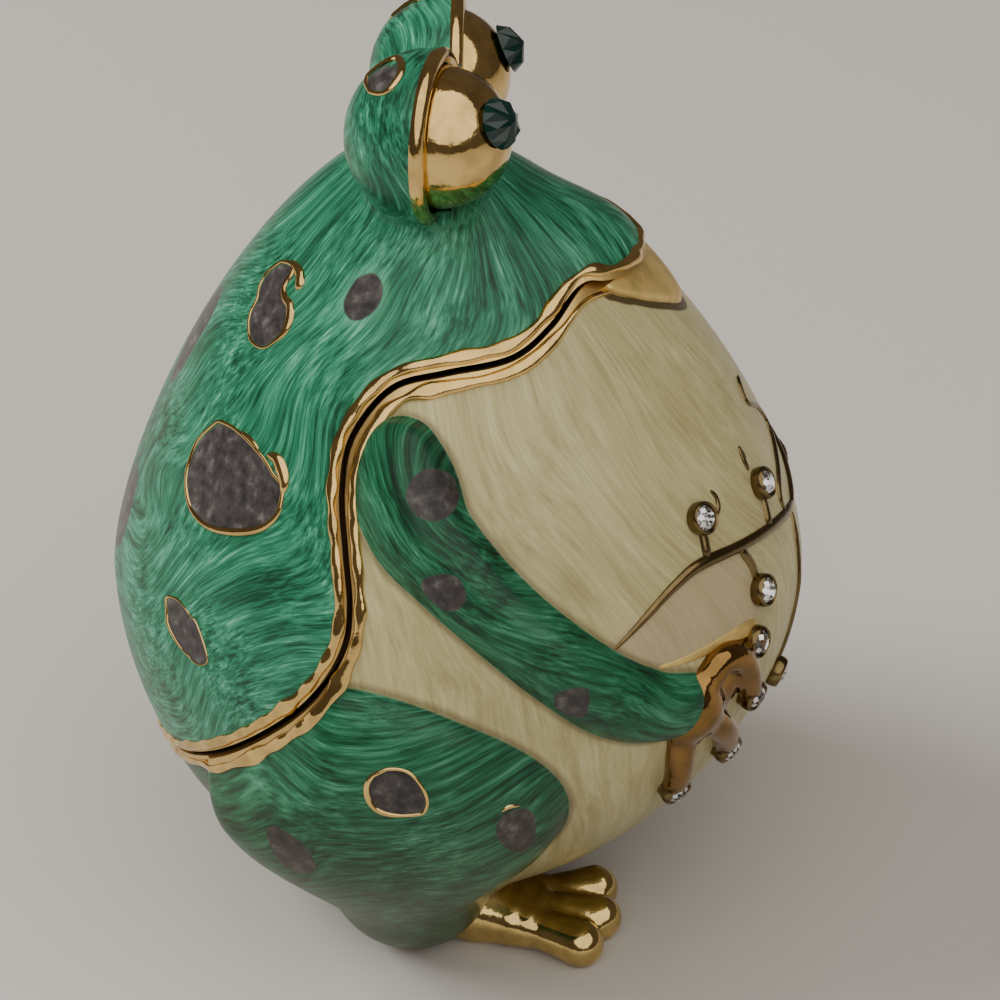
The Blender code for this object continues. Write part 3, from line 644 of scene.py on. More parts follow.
def distance_from_seam():
    """Millimetres from the seam in side view, towards the base, looked up on a grid."""
    line = seam_line(0.0, 8)
    line = np.vstack((line[:1] - (20.0, 0.0), line, line[-1:] + (20.0, -4.0)))
    ys, zs = np.arange(-36.0, 36.5, 0.5), np.arange(-3.0, 85.0, 0.5)
    places = np.stack(np.meshgrid(ys, zs, indexing="ij"), axis=-1).reshape(-1, 2)
    nearest, below = np.full(len(places), 1e3), np.zeros(len(places))
    for start, end in zip(line, line[1:]):
        run = end - start
        along = np.clip((places - start) @ run / (run @ run), 0, 1)
        offset = places - start - along[:, None] * run
        gap = length_of(offset)
        closer = gap < nearest
        turn = run[0] * offset[:, 1] - run[1] * offset[:, 0]
        nearest[closer], below[closer] = gap[closer], -np.sign(turn[closer])
    grid = (nearest * below).reshape(len(ys), len(zs))

    def distance(points):
        y = np.clip((points[:, 1] - ys[0]) / 0.5, 0, len(ys) - 1.001)
        z = np.clip((points[:, 2] - zs[0]) / 0.5, 0, len(zs) - 1.001)
        i, j = y.astype(int), z.astype(int)
        u, v = y - i, z - j
        near = grid[i, j] * (1 - v) + grid[i, j + 1] * v
        far = grid[i + 1, j] * (1 - v) + grid[i + 1, j + 1] * v
        return near * (1 - u) + far * u

    return distance


from_seam = distance_from_seam()


def flush_at_seam(form):
    """Keeps a raised form level with the lid at the seam, and lets it rise away from there."""

    def distance(points):
        allowed = FLUSH_STEP + RISE_FROM_SEAM * np.maximum(from_seam(points), 0.0)
        return -smooth_least(-form(points), allowed - egg_distance(points), 0.8)

    return distance


# Forms of the base: egg, arms, haunches and lower legs
arm_forms, haunch_forms, shin_forms = {}, {}, {}
rough_limbs = []
for label, side in SIDES.items():
    mirror = np.array((side, 1.0, 1.0))
    arm_points, _, arm_radii = route_on_skin(side, ARM_ROUTE, ARM_RADIUS, 5)
    arm_forms[label] = tube_form(arm_points, arm_radii)
    rough_limbs.append(rough_tube(arm_points, arm_radii))
    for forms, (centre, sizes, tilt) in ((haunch_forms, HAUNCH), (shin_forms, SHIN)):
        placed = np.array(centre) * BODY_SHARES * mirror
        forms[label] = ball_form(placed, np.array(sizes) * BODY_SHARES, side * tilt)
        rough_limbs.append(rough_ball(placed, np.array(sizes) * BODY_SHARES, side * tilt))
leg_forms = {label: blend_of(((haunch_forms[label], 0.0), (shin_forms[label], 12.0))) for label in SIDES}
base_field = flush_at_seam(blend_of((
    (egg_distance, 0.0),
    (shin_forms["right"], 3.0), (shin_forms["left"], 3.0),
    (arm_forms["right"], 0.5), (arm_forms["left"], 0.5),
    (leg_forms["right"], 0.4), (leg_forms["left"], 0.4),
)))

# Lid skin
rough = [rough_egg(0.0, 96, 64)]
for label in SIDES:
    mound = rough_ball(eye_centres[label], (EYE_RADIUS,) * 3)
    take(mound)
    bpy.ops.object.mode_set(mode="EDIT")
    bpy.ops.mesh.select_all(action="SELECT")
    front = Vector(eye_centres[label] + eye_aheads[label] * MOUND_FRONT) * MM
    bpy.ops.mesh.bisect(plane_co=front, plane_no=Vector(eye_aheads[label]), use_fill=True, clear_outer=True)
    bpy.ops.object.mode_set(mode="OBJECT")
    rough.append(mound)
rough.append(rough_ball((0.0, EYE_BACK, BODY_HEIGHT), (EYE_SPACING * 0.3, EYE_RADIUS * 0.65, EYE_RISE)))
lid = cast("lid_enamel", rough, lid_field, LID_GRAIN)
boolean(lid, "INTERSECT", lid_side(SEAM_GAP / 2))
boolean(lid, "DIFFERENCE", rough_egg(LID_WALL, 64, 40))
for label in SIDES:
    bpy.ops.mesh.primitive_cylinder_add(vertices=72, radius=SOCKET_RADIUS * MM, depth=SOCKET_DEPTH * 2 * MM)
    socket = bpy.context.object
    socket.matrix_world = facing(eye_centres[label] + eye_aheads[label] * MOUND_FRONT, eye_aheads[label])
    boolean(lid, "DIFFERENCE", settle(socket))
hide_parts("lid")

# Base skin, with the lip that the lid fits over
base = cast("base_enamel", [rough_egg(0.0, 96, 64)] + rough_limbs, base_field, BASE_GRAIN)
boolean(base, "DIFFERENCE", lid_side(-SEAM_GAP / 2))
lip = rough_egg(LIP_WALL, 64, 40)
boolean(lip, "DIFFERENCE", lid_side(LIP_HEIGHT))
boolean(base, "UNION", lip)
boolean(base, "DIFFERENCE", rough_egg(BASE_WALL, 64, 40))
cut_at_ground(base)
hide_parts("base")


def seam_loop(field, shift, ease):
    """The closed line where the seam meets a form's skin, evenly spaced, and the normals along it."""
    line = seam_line(shift, 40)
    middle = np.column_stack((np.zeros(len(line)), line))
    inside = np.flatnonzero(field(middle) < 0)
    line = line[inside[0]:inside[-1] + 1]
    half = side_points(field, line, RIGHT)[0]
    loop = np.vstack((half, half[::-1] * (-1, 1, 1)))
    loop = np.vstack((loop, loop[:1]))
    lengths = np.concatenate(((0,), np.cumsum(length_of(np.diff(loop, axis=0)))))
    places = np.arange(0, lengths[-1], 0.3)
    even = np.stack([np.interp(places, lengths, loop[:, axis]) for axis in range(3)], axis=-1)
    padded = np.pad(even, ((ease, ease), (0, 0)), mode="wrap")
    eased = np.mean([padded[start:start + len(even)] for start in range(2 * ease + 1)], axis=0)
    return eased, unit(slope_of(field, eased))


def wavering(count, seed, size, reach):
    """Slow random waves along a closed line, as a hand leaves them."""
    random = np.random.default_rng(seed)
    angles = np.arange(count) / count * 2 * math.pi
    waves = np.zeros(count)
    for number in range(2, reach):
        waves += random.normal() * np.sin(number * angles + random.uniform(0, 2 * math.pi)) / math.sqrt(reach)
    return waves * size


gold_pieces = []
for name, field in (("lid_rim", lid_field), ("base_rim", base_field)):
    toward_lid, width, seed, ease = RIMS[name]
    points, normals = seam_loop(field, toward_lid * (SEAM_GAP / 2 + width + RIM_SETBACK), ease)
    widths = width + wavering(len(points), seed, 0.11, 70)
    heights = RIM_HEIGHT + wavering(len(points), seed + 1, 0.06, 90)
    if name == "base_rim":
        widths *= np.interp(points[:, 1], *BASE_RIM_TAPER)
    widths, heights = np.clip(widths, 0.25, 1.2), np.clip(heights, 0.15, 0.6)
    gold_pieces.append(turn_outward(sweep(name, points, normals, widths, heights, closed=True, sides=12)))

# Eyes: gold lids and balls
for label, side in SIDES.items():
    ahead = eye_aheads[label]
    bpy.ops.mesh.primitive_torus_add(
        major_segments=72, minor_segments=16,
        major_radius=(EYE_RADIUS - EYELID_RADIUS * 0.8) * MM, minor_radius=EYELID_RADIUS * MM,
    )
    eyelid = bpy.context.object
    eyelid.name = f"eyelid_{label}"
    eyelid.matrix_world = facing(eye_centres[label] + ahead * 0.3, ahead)
    gold_pieces.append(settle(eyelid))
    bpy.ops.mesh.primitive_uv_sphere_add(segments=64, ring_count=40, radius=EYEBALL_RADIUS * MM)
    eyeball = bpy.context.object
    eyeball.name = f"eyeball_{label}"
    eyeball.location = Vector(eye_centres[label] + ahead * EYEBALL_FORWARD[label]) * MM
    gold_pieces.append(settle(eyeball))

# Hands and feet
for label, side in SIDES.items():
    palm = skin(side, *PALM_PLACE, -PALM_RADIUS * 0.3)[0]
    forms, rough = [(ball_form(palm, (PALM_RADIUS,) * 3), 0.0)], [rough_ball(palm, (PALM_RADIUS,) * 3)]
    for turn, share, radius, rise in PALM_PADS:
        web = skin(side, turn, share, rise - radius)[0]
        forms.append((ball_form(web, (radius,) * 3), 0.7))
        rough.append(rough_ball(web, (radius,) * 3))
    for route in FINGER_ROUTES:
        points, _, radii = route_on_skin(side, route, FINGER_RADIUS, 6)
        forms.append((tube_form(points, radii), 0.7))
        rough.append(rough_tube(points, radii))
    gold_pieces.append(cast(f"hand_{label}", rough, blend_of(forms), HAND_GRAIN))
    root = np.array((side * ANKLE[0] * BODY_WIDTH / 2, ANKLE[1] * BODY_DEPTH / 2, ANKLE_RADIUS * TOE_LIFT))
    forms, rough = [], []
    for across, along in TOE_TIPS:
        tip = np.array((side * across * BODY_WIDTH / 2, along * BODY_DEPTH / 2, TOE_RADIUS * TOE_LIFT))
        shares = np.array((0.0, 0.18, 0.35, 0.5, 0.65, 0.74, 0.82, 0.91, 1.0))[:, None]
        points = root + (tip - root) * shares
        radii = np.interp(shares[:, 0], (0.0, 0.35, 0.65, 0.82, 1.0),
                          (ANKLE_RADIUS, TOE_RADIUS * 1.2, TOE_RADIUS * 0.85, TOE_RADIUS * 0.9, TOE_RADIUS))
        forms.append((tube_form(points, radii), 0.8))
        rough.append(rough_tube(points, radii))
    foot = cast(f"foot_{label}", rough, blend_of(forms), FOOT_GRAIN)
    cut_at_ground(foot)
    gold_pieces.append(foot)

# Gold wires and drops around the spots
for spots, wires, field in ((LID_SPOTS, LID_WIRES, lid_field), (BASE_SPOTS, BASE_WIRES, base_field)):
    for name, (thin, thick, lean) in wires.items():
        flat = closed_curve(spots[name])
        outward = unit(flat - flat.mean(axis=0))
        share = np.clip(outward @ np.array(lean), 0, 1) ** 1.5
        widths = thin + (thick - thin) * share
        for label, side in SIDES.items():
            points, normals = side_points(field, flat + outward * widths[:, None] * 0.7, side)
            wire = sweep(f"{name}_wire_{label}", points, normals, widths, widths * 0.6 + 0.05, True)
            gold_pieces.append(turn_outward(wire))
for drop, field in [(drop, lid_field) for drop in GOLD_DROPS] + [(KNEE_DROP, base_field)]:
    rows = smooth_through(drop, 6)
    for label, side in SIDES.items():
        points, normals = side_points(field, rows[:, :2], side)
        widths = tapered(rows[:, 2])
        gold_pieces.append(turn_outward(sweep(f"gold_drop_{label}", points, normals, widths, widths * 0.7)))


def pad(name, side, turns, tops, bottoms, rise, rows=14):
    """A raised patch of the skin between two height shares, rounded down at its edges."""
    columns = len(turns)
    outer, inner = [], []
    for i, (turn, top, bottom) in enumerate(zip(turns, tops, bottoms)):
        for j in range(rows):
            share = j / (rows - 1)
            edge = max(abs(2 * i / (columns - 1) - 1) ** 6, share**5)
            height = top + (bottom - top) * share
            outer.append(skin(side, turn, height, rise * (1 - edge) ** 0.5 - 0.05)[0])
            inner.append(skin(side, turn, height, -0.4)[0])
    faces = []
    count = columns * rows
    for i in range(columns - 1):
        for j in range(rows - 1):
            a, b, c, d = i * rows + j, i * rows + j + 1, (i + 1) * rows + j + 1, (i + 1) * rows + j
            faces += [(a, b, c, d), (a + count, d + count, c + count, b + count)]
    ring = [(i * rows, (i + 1) * rows) for i in range(columns - 1)]
    ring += [((columns - 1) * rows + j, (columns - 1) * rows + j + 1) for j in range(rows - 1)]
    ring += [((i + 1) * rows + rows - 1, i * rows + rows - 1) for i in range(columns - 1)]
    ring += [(j + 1, j) for j in range(rows - 1)]
    faces += [(a, b, b + count, a + count) for a, b in ring]
    return turn_outward(mesh_piece(name, outer + inner, faces))


chin_rows = smooth_through(CHIN_EDGE, 4)
chin_rows = chin_rows[np.argsort(-chin_rows[:, 0])]
chin = pad("chin", RIGHT, chin_rows[:, 0], [CHIN_TOP + 0.001] * len(chin_rows), chin_rows[:, 1], CHIN_RAISE)
gold_bands = []
for label, side in SIDES.items():
    points, normals, radii = route_on_skin(side, GOLD_BAND, VINE_RADIUS, 6)
    widths = tapered(radii)
    gold_bands.append(turn_outward(sweep(f"gold_band_{label}", points, normals, widths, widths * 0.35)))

# Vine
vine_parts = []
routes = [(side, VINE_ROUTE) for side in SIDES.values()]
routes += [(side, route) for label, side in SIDES.items() for route in SHOOT_ROUTES[label]]
routes.append((RIGHT, MIDDLE_SHOOT))
routes += [(RIGHT, route) for route in TENDRILS]
for side, route in routes:
    points, normals, radii = route_on_skin(side, route, VINE_RADIUS, 8)
    vine_parts.append(sweep("vine", points, normals, tapered(radii), tapered(radii) * 0.8))
vine = turn_outward(joined(vine_parts))
vine.name = "vine"


def stone_mesh(name, radius, height, pointed):
    """A cut stone on its own z = 0, with its crown above the girdle and its point below."""
    crown = height * (0.75 if pointed else 0.38)
    table, table_height = (0.30, 0.85) if pointed else (0.56, 1.0)
    rings = (
        (range(16), 1.0, 0.0), (range(0, 16, 2), 0.80, crown * 0.55),
        (range(1, 16, 2), table, crown * table_height),
    )
    points = []
    for places, share, rise in rings:
        for place in places:
            angle = place * math.pi / 8
            points.append((radius * share * math.cos(angle), radius * share * math.sin(angle), rise))
    points += [(0.0, 0.0, crown), (0.0, 0.0, crown - height)]
    faces = []
    for i in range(8):
        before, after = (i - 1) % 8, (i + 1) % 8
        edge, middle, inner = 2 * i, 16 + i, 24 + i
        faces.append((edge, edge + 1, middle))
        faces.append((edge + 1, (edge + 2) % 16, 16 + after))
        faces.append((edge + 1, 16 + after, inner, middle))
        faces.append((middle, inner, 24 + before))
        faces.append((inner, 32, 24 + before))
        faces.append((edge + 1, edge, 33))
        faces.append(((edge + 2) % 16, edge + 1, 33))
    return turn_outward(mesh_piece(name, points, faces))


# Cups, measured from the stone's girdle
CUP_INNER, CUP_OUTER = STONE_RADIUS * 0.98, STONE_RADIUS + 0.38
SHANK_LOW, SHANK_HIGH, SHANK_SHARE = -1.6, -0.75, 0.94
COLLAR_PLACE, COLLAR_STRETCH = -0.42, 3.0

def cup_for(name, place, direction):
    """A gold collar around a stone, on a short shank."""
    bpy.ops.mesh.primitive_torus_add(
        major_segments=32, minor_segments=12, major_radius=(CUP_INNER + CUP_OUTER) / 2 * MM,
        minor_radius=(CUP_OUTER - CUP_INNER) / 2 * MM, location=(0.0, 0.0, COLLAR_PLACE * MM),
    )
    collar = bpy.context.object
    collar.scale.z = COLLAR_STRETCH
    bpy.ops.mesh.primitive_cylinder_add(
        vertices=32, radius=CUP_OUTER * SHANK_SHARE * MM, depth=(SHANK_HIGH - SHANK_LOW) * MM,
        location=(0.0, 0.0, (SHANK_LOW + SHANK_HIGH) / 2 * MM),
    )
    cup = joined([collar, bpy.context.object])
    cup.name = name
    cup.matrix_world = facing(place, direction)
    return settle(cup)

stones, cups = [], []


def set_stone(node, place, direction):
    girdle = place + direction * STONE_LIFT
    stone = stone_mesh(node + "_cut", STONE_RADIUS, STONE_HEIGHT, False)
    stone.matrix_world = facing(girdle, direction)
    stones.append((settle(stone), node, "clear_crystal"))
    cups.append(cup_for(node + "_cup", girdle, direction))


for label, side in SIDES.items():
    for number, route in enumerate(FINGER_ROUTES, 1):
        turn, share, _, sunk = route[-1]
        set_stone(f"fingertip_crystal_{label}_{number}", *skin(side, turn, share, -sunk * FINGER_RADIUS))
    for number, route in enumerate(SHOOT_ROUTES[label], 1):
        set_stone(f"vine_crystal_{label}_{number}", *skin(side, *route[-1][:2]))
    yaw, pitch = math.radians(GAZE_YAW[label]), math.radians(GAZE_PITCH)
    level = math.cos(pitch)
    gaze = np.array((side * math.sin(yaw) * level, -math.cos(yaw) * level, math.sin(pitch)))
    seat = eye_centres[label] + eye_aheads[label] * EYEBALL_FORWARD[label] + gaze * EYEBALL_RADIUS
    eye_stone = stone_mesh(f"eye_crystal_{label}_cut", EYE_STONE_RADIUS, EYE_STONE_HEIGHT, True)
    eye_stone.matrix_world = facing(seat, gaze)
    stones.append((settle(eye_stone), f"eye_crystal_{label}", "dark_green_crystal"))
set_stone("vine_crystal_middle", *skin(RIGHT, *MIDDLE_SHOOT[-1][:2]))
cup_piece = joined(cups)
cup_piece.name = "stone_cups"


def store(piece, name, values):
    """Keeps one number or one vector a vertex for the finishes to read."""
    kind, key = ("FLOAT", "value") if values.ndim == 1 else ("FLOAT_VECTOR", "vector")
    layer = piece.data.attributes.new(name, kind, "POINT")
    layer.data.foreach_set(key, values.astype(np.float32).ravel())


def spot_depth(points, spots):
    """How far points lie inside the painted spots, in side view and from behind."""
    depth = np.full(len(points), -5.0)
    for outline in spots.values():
        depth = np.maximum(depth, outline_depth(points[:, 1:], outline))
    return depth


def back_spot_depth(points):
    depth = np.full(len(points), -5.0)
    for across, height, half_width, half_height, lean in BACK_SPOTS:
        angle = math.radians(lean)
        shifted = points[:, [0, 2]] - (across, height)
        local = shifted @ np.array(((math.cos(angle), math.sin(angle)), (-math.sin(angle), math.cos(angle))))
        around = np.arctan2(local[:, 1], local[:, 0])
        share = length_of(local / (half_width, half_height)) * (1 + 0.07 * np.sin(3 * around + across))
        depth = np.maximum(depth, (1 - share) * half_width)
    return np.where(points[:, 1] > 8, depth, -5.0)


def brushing(points, slant):
    """Coordinates along and across brush strokes that rise towards the front by a slant in degrees."""
    toward_front = (egg_middle(points[:, 2]) - points[:, 1]) / BODY_DEPTH
    turn = np.arctan2(np.abs(points[:, 0]) / BODY_WIDTH, toward_front)
    forward = -turn * (BODY_WIDTH + BODY_DEPTH) / 4
    angle = math.radians(slant)
    along = math.cos(angle) * forward + math.sin(angle) * points[:, 2]
    across = math.cos(angle) * points[:, 2] - math.sin(angle) * forward
    return np.column_stack((along, across, np.sign(points[:, 0]) * 40.0))


def brushing_along(points, route, normals):
    """Coordinates along and across a limb."""
    lengths = np.concatenate(((0,), np.cumsum(length_of(np.diff(route, axis=0)))))
    runs = unit(np.gradient(route, axis=0))
    nearest, place = np.full(len(points), 1e9), np.zeros(len(points), int)
    for index, centre in enumerate(route):
        gap = length_of(points - centre)
        closer = gap < nearest
        nearest[closer], place[closer] = gap[closer], index
    offset = points - route[place]
    along = lengths[place] + (offset * runs[place]).sum(axis=1)
    across = (offset * np.cross(runs, normals)[place]).sum(axis=1)
    return np.column_stack((along, across, np.full(len(points), 90.0)))


# Where the colours lie on the lid
points = points_of(lid)
strokes = brushing(points, 42.0)
for label in SIDES:
    offset = points - eye_centres[label]
    ahead = offset @ eye_aheads[label]
    around = np.arctan2(offset[:, 0], offset[:, 2]) * EYE_RADIUS
    ringed = np.column_stack((around, ahead * 1.2, np.full(len(points), 150.0)))
    on_mound = length_of(offset) < EYE_RADIUS + 0.3
    strokes[on_mound] = ringed[on_mound]
painted = {name: outline for name, outline in LID_SPOTS.items() if name != "eye"}
depth = np.maximum(spot_depth(points, painted), back_spot_depth(points))
beside_middle = np.abs(points[:, 0]) > EYE_SPACING / 2 - 1.0
eye_depth = np.where(beside_middle, spot_depth(points, {"eye": LID_SPOTS["eye"]}), -5.0)
store(lid, "brush", strokes)
store(lid, "spot", np.maximum(depth, eye_depth))
store(lid, "halo", outline_depth(points[:, 1:], LID_SPOTS["neck"]))
store(lid, "skin", egg_distance(points))
store(lid, "seam", -from_seam(points))

# Where the colours lie on the base
points = points_of(base)
inside_green = GREEN_BACK + GREEN_BACK_LEAN * points[:, 2] - points[:, 1]
for forms, margin in ((arm_forms, ARM_COAT), (leg_forms, LEG_COAT), (shin_forms, SHIN_COAT)):
    for form in forms.values():
        inside_green = np.minimum(inside_green, form(points) - margin)
for side in SIDES.values():
    calf = ball_form((side * CALF[0][0], *CALF[0][1:]), CALF[1])
    inside_green = np.minimum(inside_green, calf(points))
green_edge = -inside_green
strokes = brushing(points, 14.0)
for label, side in SIDES.items():
    arm_points, arm_normals, _ = route_on_skin(side, ARM_ROUTE, ARM_RADIUS, 5)
    on_arm = arm_forms[label](points) < 0.6
    strokes[on_arm] = brushing_along(points[on_arm], arm_points, arm_normals)
store(base, "brush", strokes)
store(base, "cream_brush", brushing(points, 113.0))
store(base, "green_edge", green_edge)
store(base, "spot", np.where(green_edge > 0.1, spot_depth(points, BASE_SPOTS), -5.0))
store(base, "leaf", outline_depth(points[:, 1:], LEAF_FIELD))
store(base, "skin", egg_distance(points))
store(base, "height", points[:, 2])
store(base, "seam", from_seam(points))
chin_outline = np.array([skin(RIGHT, turn, share)[0] for turn, share in CHIN_EDGE])[:, [0, 2]]
chin_top = chin_outline[::-1] * (1, 0) + (0, 64.0)
chin_depth = outline_depth(points[:, [0, 2]], np.vstack((chin_outline, chin_top)))
store(base, "chin", np.where(points[:, 1] < -10, chin_depth, -5.0))


class Finish:
    """A material's node tree, built up step by step."""

    def __init__(self, name):
        self.material = bpy.data.materials.new(name)
        self.material.use_nodes = True
        self.tree = self.material.node_tree
        self.shader = self.tree.nodes["Principled BSDF"]

    def join(self, source, target):
        if isinstance(source, bpy.types.NodeSocket):
            self.tree.links.new(source, target)
        else:
            target.default_value = source

    def add(self, kind, sources, output=0, **settings):
        """A new node with its settings, fed by sources that are sockets or plain values."""
        node = self.tree.nodes.new("ShaderNode" + kind)
        for setting, value in settings.items():
            setattr(node, setting, value)
        for place, source in sources.items():
            self.join(source, node.inputs[place])
        return node.outputs[output]

    def put(self, sources):
        """Feeds or sets the shader's own sockets."""
        for socket, source in sources.items():
            self.join(source, self.shader.inputs[socket])

    def layer(self, name, vector=False):
        return self.add("Attribute", {}, "Vector" if vector else "Fac", attribute_name=name)

    def object_mm(self, scale):
        return self.stretched(self.add("TexCoord", {}, "Object"), (scale / MM,) * 3)

    def stretched(self, vector, scale):
        return self.add("VectorMath", {0: vector, 1: scale}, operation="MULTIPLY")

    def shifted(self, vector, shift, scale):
        """A vector pushed about by a noise's colour."""
        return self.add("VectorMath", {0: shift, 1: (scale,) * 3, 2: vector}, operation="MULTIPLY_ADD")

    def noise(self, vector, detail=3.0, roughness=0.5, colour=False):
        sources = {"Vector": vector, "Scale": 1.0, "Detail": detail, "Roughness": roughness}
        return self.add("TexNoise", sources, "Color" if colour else "Fac")

    def math(self, operation, first, second):
        return self.add("Math", {0: first, 1: second}, operation=operation)

    def step(self, value, low, high):
        """0 at low and 1 at high, and level beyond them."""
        return self.add("MapRange", {"Value": value, "From Min": low, "From Max": high}, "Result")

    def ramp(self, value, stops):
        node = self.tree.nodes.new("ShaderNodeValToRGB")
        self.join(value, node.inputs["Fac"])
        elements = node.color_ramp.elements
        while len(elements) < len(stops):
            elements.new(0.5)
        for element, (place, colour) in zip(elements, stops):
            element.position = place
            element.color = (*colour, 1.0)
        return node.outputs["Color"]

    def mix(self, share, first, second):
        return self.add("Mix", {"Factor": share, 6: first, 7: second}, 2, data_type="RGBA")

    def bumps(self, height, strength, distance):
        sources = {"Strength": strength, "Distance": distance * MM, "Height": height}
        self.put({"Normal": self.add("Bump", sources, "Normal")})

GREEN_STOPS = (
    (0.36, (0.004, 0.019, 0.011)), (0.44, (0.008, 0.066, 0.034)), (0.51, (0.020, 0.170, 0.090)),
    (0.57, (0.062, 0.300, 0.182)), (0.65, (0.215, 0.540, 0.400)), (0.76, (0.400, 0.740, 0.600)),
)
CREAM_STOPS = (
    (0.30, (0.280, 0.230, 0.098)), (0.44, (0.415, 0.370, 0.178)), (0.56, (0.545, 0.500, 0.262)),
    (0.68, (0.690, 0.660, 0.420)),
)
SPOT_STOPS = ((0.30, (0.022, 0.020, 0.021)), (0.55, (0.060, 0.053, 0.053)), (0.75, (0.150, 0.145, 0.142)))
GOLD_COLOUR, LINING_COLOUR = (0.80, 0.56, 0.21), (0.16, 0.10, 0.05)


def brushed(finish, layer, swirl, fine, broad, stops):
    """Streaks of colour that follow the brush strokes, with slow swirls and paler and darker places."""
    wander = finish.noise(finish.object_mm(0.055), 0.6, 0.5, colour=True)
    flow = finish.shifted(finish.layer(layer, vector=True), wander, swirl)
    streaks = finish.noise(finish.stretched(flow, fine), 5.0, 0.68)
    bands = finish.noise(finish.stretched(flow, broad), 3.0, 0.55)
    clouds = finish.noise(finish.object_mm(0.11), 2.0, 0.5)
    flecks = finish.noise(finish.stretched(flow, tuple(value * 2.4 for value in fine)), 3.0, 0.6)
    total = finish.math("ADD", finish.math("MULTIPLY", streaks, 0.36), finish.math("MULTIPLY", bands, 0.24))
    total = finish.math("ADD", total, finish.math("MULTIPLY", flecks, 0.26))
    total = finish.math("ADD", total, finish.math("MULTIPLY", clouds, 0.14))
    return finish.ramp(total, stops), streaks


def painted_spots(finish, ground):
    mottle = finish.noise(finish.object_mm(0.9), 4.0, 0.6)
    spots = finish.ramp(mottle, SPOT_STOPS)
    return finish.mix(finish.step(finish.layer("spot"), -0.05, 0.08), ground, spots)


def enamel(finish, colour, streaks):
    """Glossy enamel, plated along the seam and bare metal inside the casting."""
    inside = finish.step(finish.layer("skin"), -0.22, -0.34)
    strip = finish.step(finish.layer("seam"), 1.05, 0.95)
    colour = finish.mix(strip, colour, (*GOLD_COLOUR, 1.0))
    finish.put({
        "Base Color": finish.mix(inside, colour, (*LINING_COLOUR, 1.0)),
        "Metallic": finish.math("MAXIMUM", inside, strip),
        "Roughness": 0.38, "Specular IOR Level": 0.24, "Coat Weight": 0.10, "Coat Roughness": 0.10,
    })
    finish.bumps(streaks, 0.3, 0.07)
    return finish.material

green_finish = Finish("green_enamel")
green_colour, green_streaks = brushed(
    green_finish, "brush", 22.0, (0.12, 2.0, 1.0), (0.05, 0.50, 1.0), GREEN_STOPS,
)
halo = green_finish.layer("halo")
ring = green_finish.math("MULTIPLY", green_finish.step(halo, -0.75, -0.15), 0.25)
green_colour = green_finish.mix(ring, green_colour, (0.16, 0.48, 0.30, 1.0))
green = enamel(green_finish, painted_spots(green_finish, green_colour), green_streaks)

# The limbs' green is the lid's green made darker, as painted shade on the arms and legs.
SHADED_LIMB_STOPS = tuple(
    (place, (red * 0.60, green * 0.64, blue * 0.56)) for place, (red, green, blue) in GREEN_STOPS
)
base_finish = Finish("base_enamel")
limb_colour, limb_streaks = brushed(
    base_finish, "brush", 14.0, (0.12, 2.0, 1.0), (0.05, 0.55, 1.0), SHADED_LIMB_STOPS,
)
belly_colour, _ = brushed(base_finish, "cream_brush", 8.0, (0.08, 1.2, 1.0), (0.04, 0.36, 1.0), CREAM_STOPS)
leaf = base_finish.step(base_finish.layer("leaf"), -0.15, 0.1)
leaf_share = base_finish.math("MULTIPLY", leaf, 0.55)
belly_colour = base_finish.mix(leaf_share, belly_colour, (0.42, 0.33, 0.22, 1.0))
edge = base_finish.layer("green_edge")
limb_colour = painted_spots(base_finish, limb_colour)
base_colour = base_finish.mix(base_finish.step(edge, -0.06, 0.08), belly_colour, limb_colour)
# Painted shadow: a dark brown band on the cream just outside the green limbs, where they rise from the belly.
near_edge = base_finish.step(edge, -0.45, -0.10)
outline = base_finish.math("MULTIPLY", near_edge, base_finish.step(edge, 0.05, -0.05))
limb_edge_shadow_share = base_finish.math("MULTIPLY", outline, 0.6)
base_colour = base_finish.mix(limb_edge_shadow_share, base_colour, (0.10, 0.060, 0.025, 1.0))
# Painted shadow: a dark band just outside the gold lip's lower edge, where the lip shades the belly.
recess = base_finish.layer("chin")
shade = base_finish.math("MULTIPLY", base_finish.step(recess, -0.66, -0.50), 0.92)
base_colour = base_finish.mix(shade, base_colour, (0.045, 0.028, 0.010, 1.0))
# Painted shade: the base's colour is darkened towards the bottom, from 27 mm down to 3 mm.
low = base_finish.math("MULTIPLY", base_finish.step(base_finish.layer("height"), 27.0, 3.0), 0.62)
base_colour = base_finish.mix(low, base_colour, (0.060, 0.040, 0.015, 1.0))
cream = enamel(base_finish, base_colour, limb_streaks)


def plated(name, colour, roughness, unevenness, metal=1.0):
    """Gold plating over a slightly uneven casting."""
    finish = Finish(name)
    tone = finish.noise(finish.object_mm(0.5), 2.0, 0.5)
    darker = tuple(value * 0.72 for value in colour)
    tones = finish.ramp(tone, ((0.35, darker), (0.60, colour)))
    finish.put({"Base Color": tones, "Metallic": metal, "Roughness": roughness})
    finish.bumps(finish.noise(finish.object_mm(0.8), 3.0, 0.5), unevenness, 0.12)
    return finish.material

def plain(name, colour, roughness, transmission=0.0):
    finish = Finish(name)
    finish.put({"Base Color": (*colour, 1.0), "Roughness": roughness, "Transmission Weight": transmission})
    return finish.material

gold = plated("polished_gold", GOLD_COLOUR, 0.10, 0.35)
# The hands' gold is darkened to brown as painted reflection, standing in for a dark room mirrored in polished
# gold.
amber_gold = plated("amber_gold", (0.32, 0.185, 0.060), 0.09, 0.45)
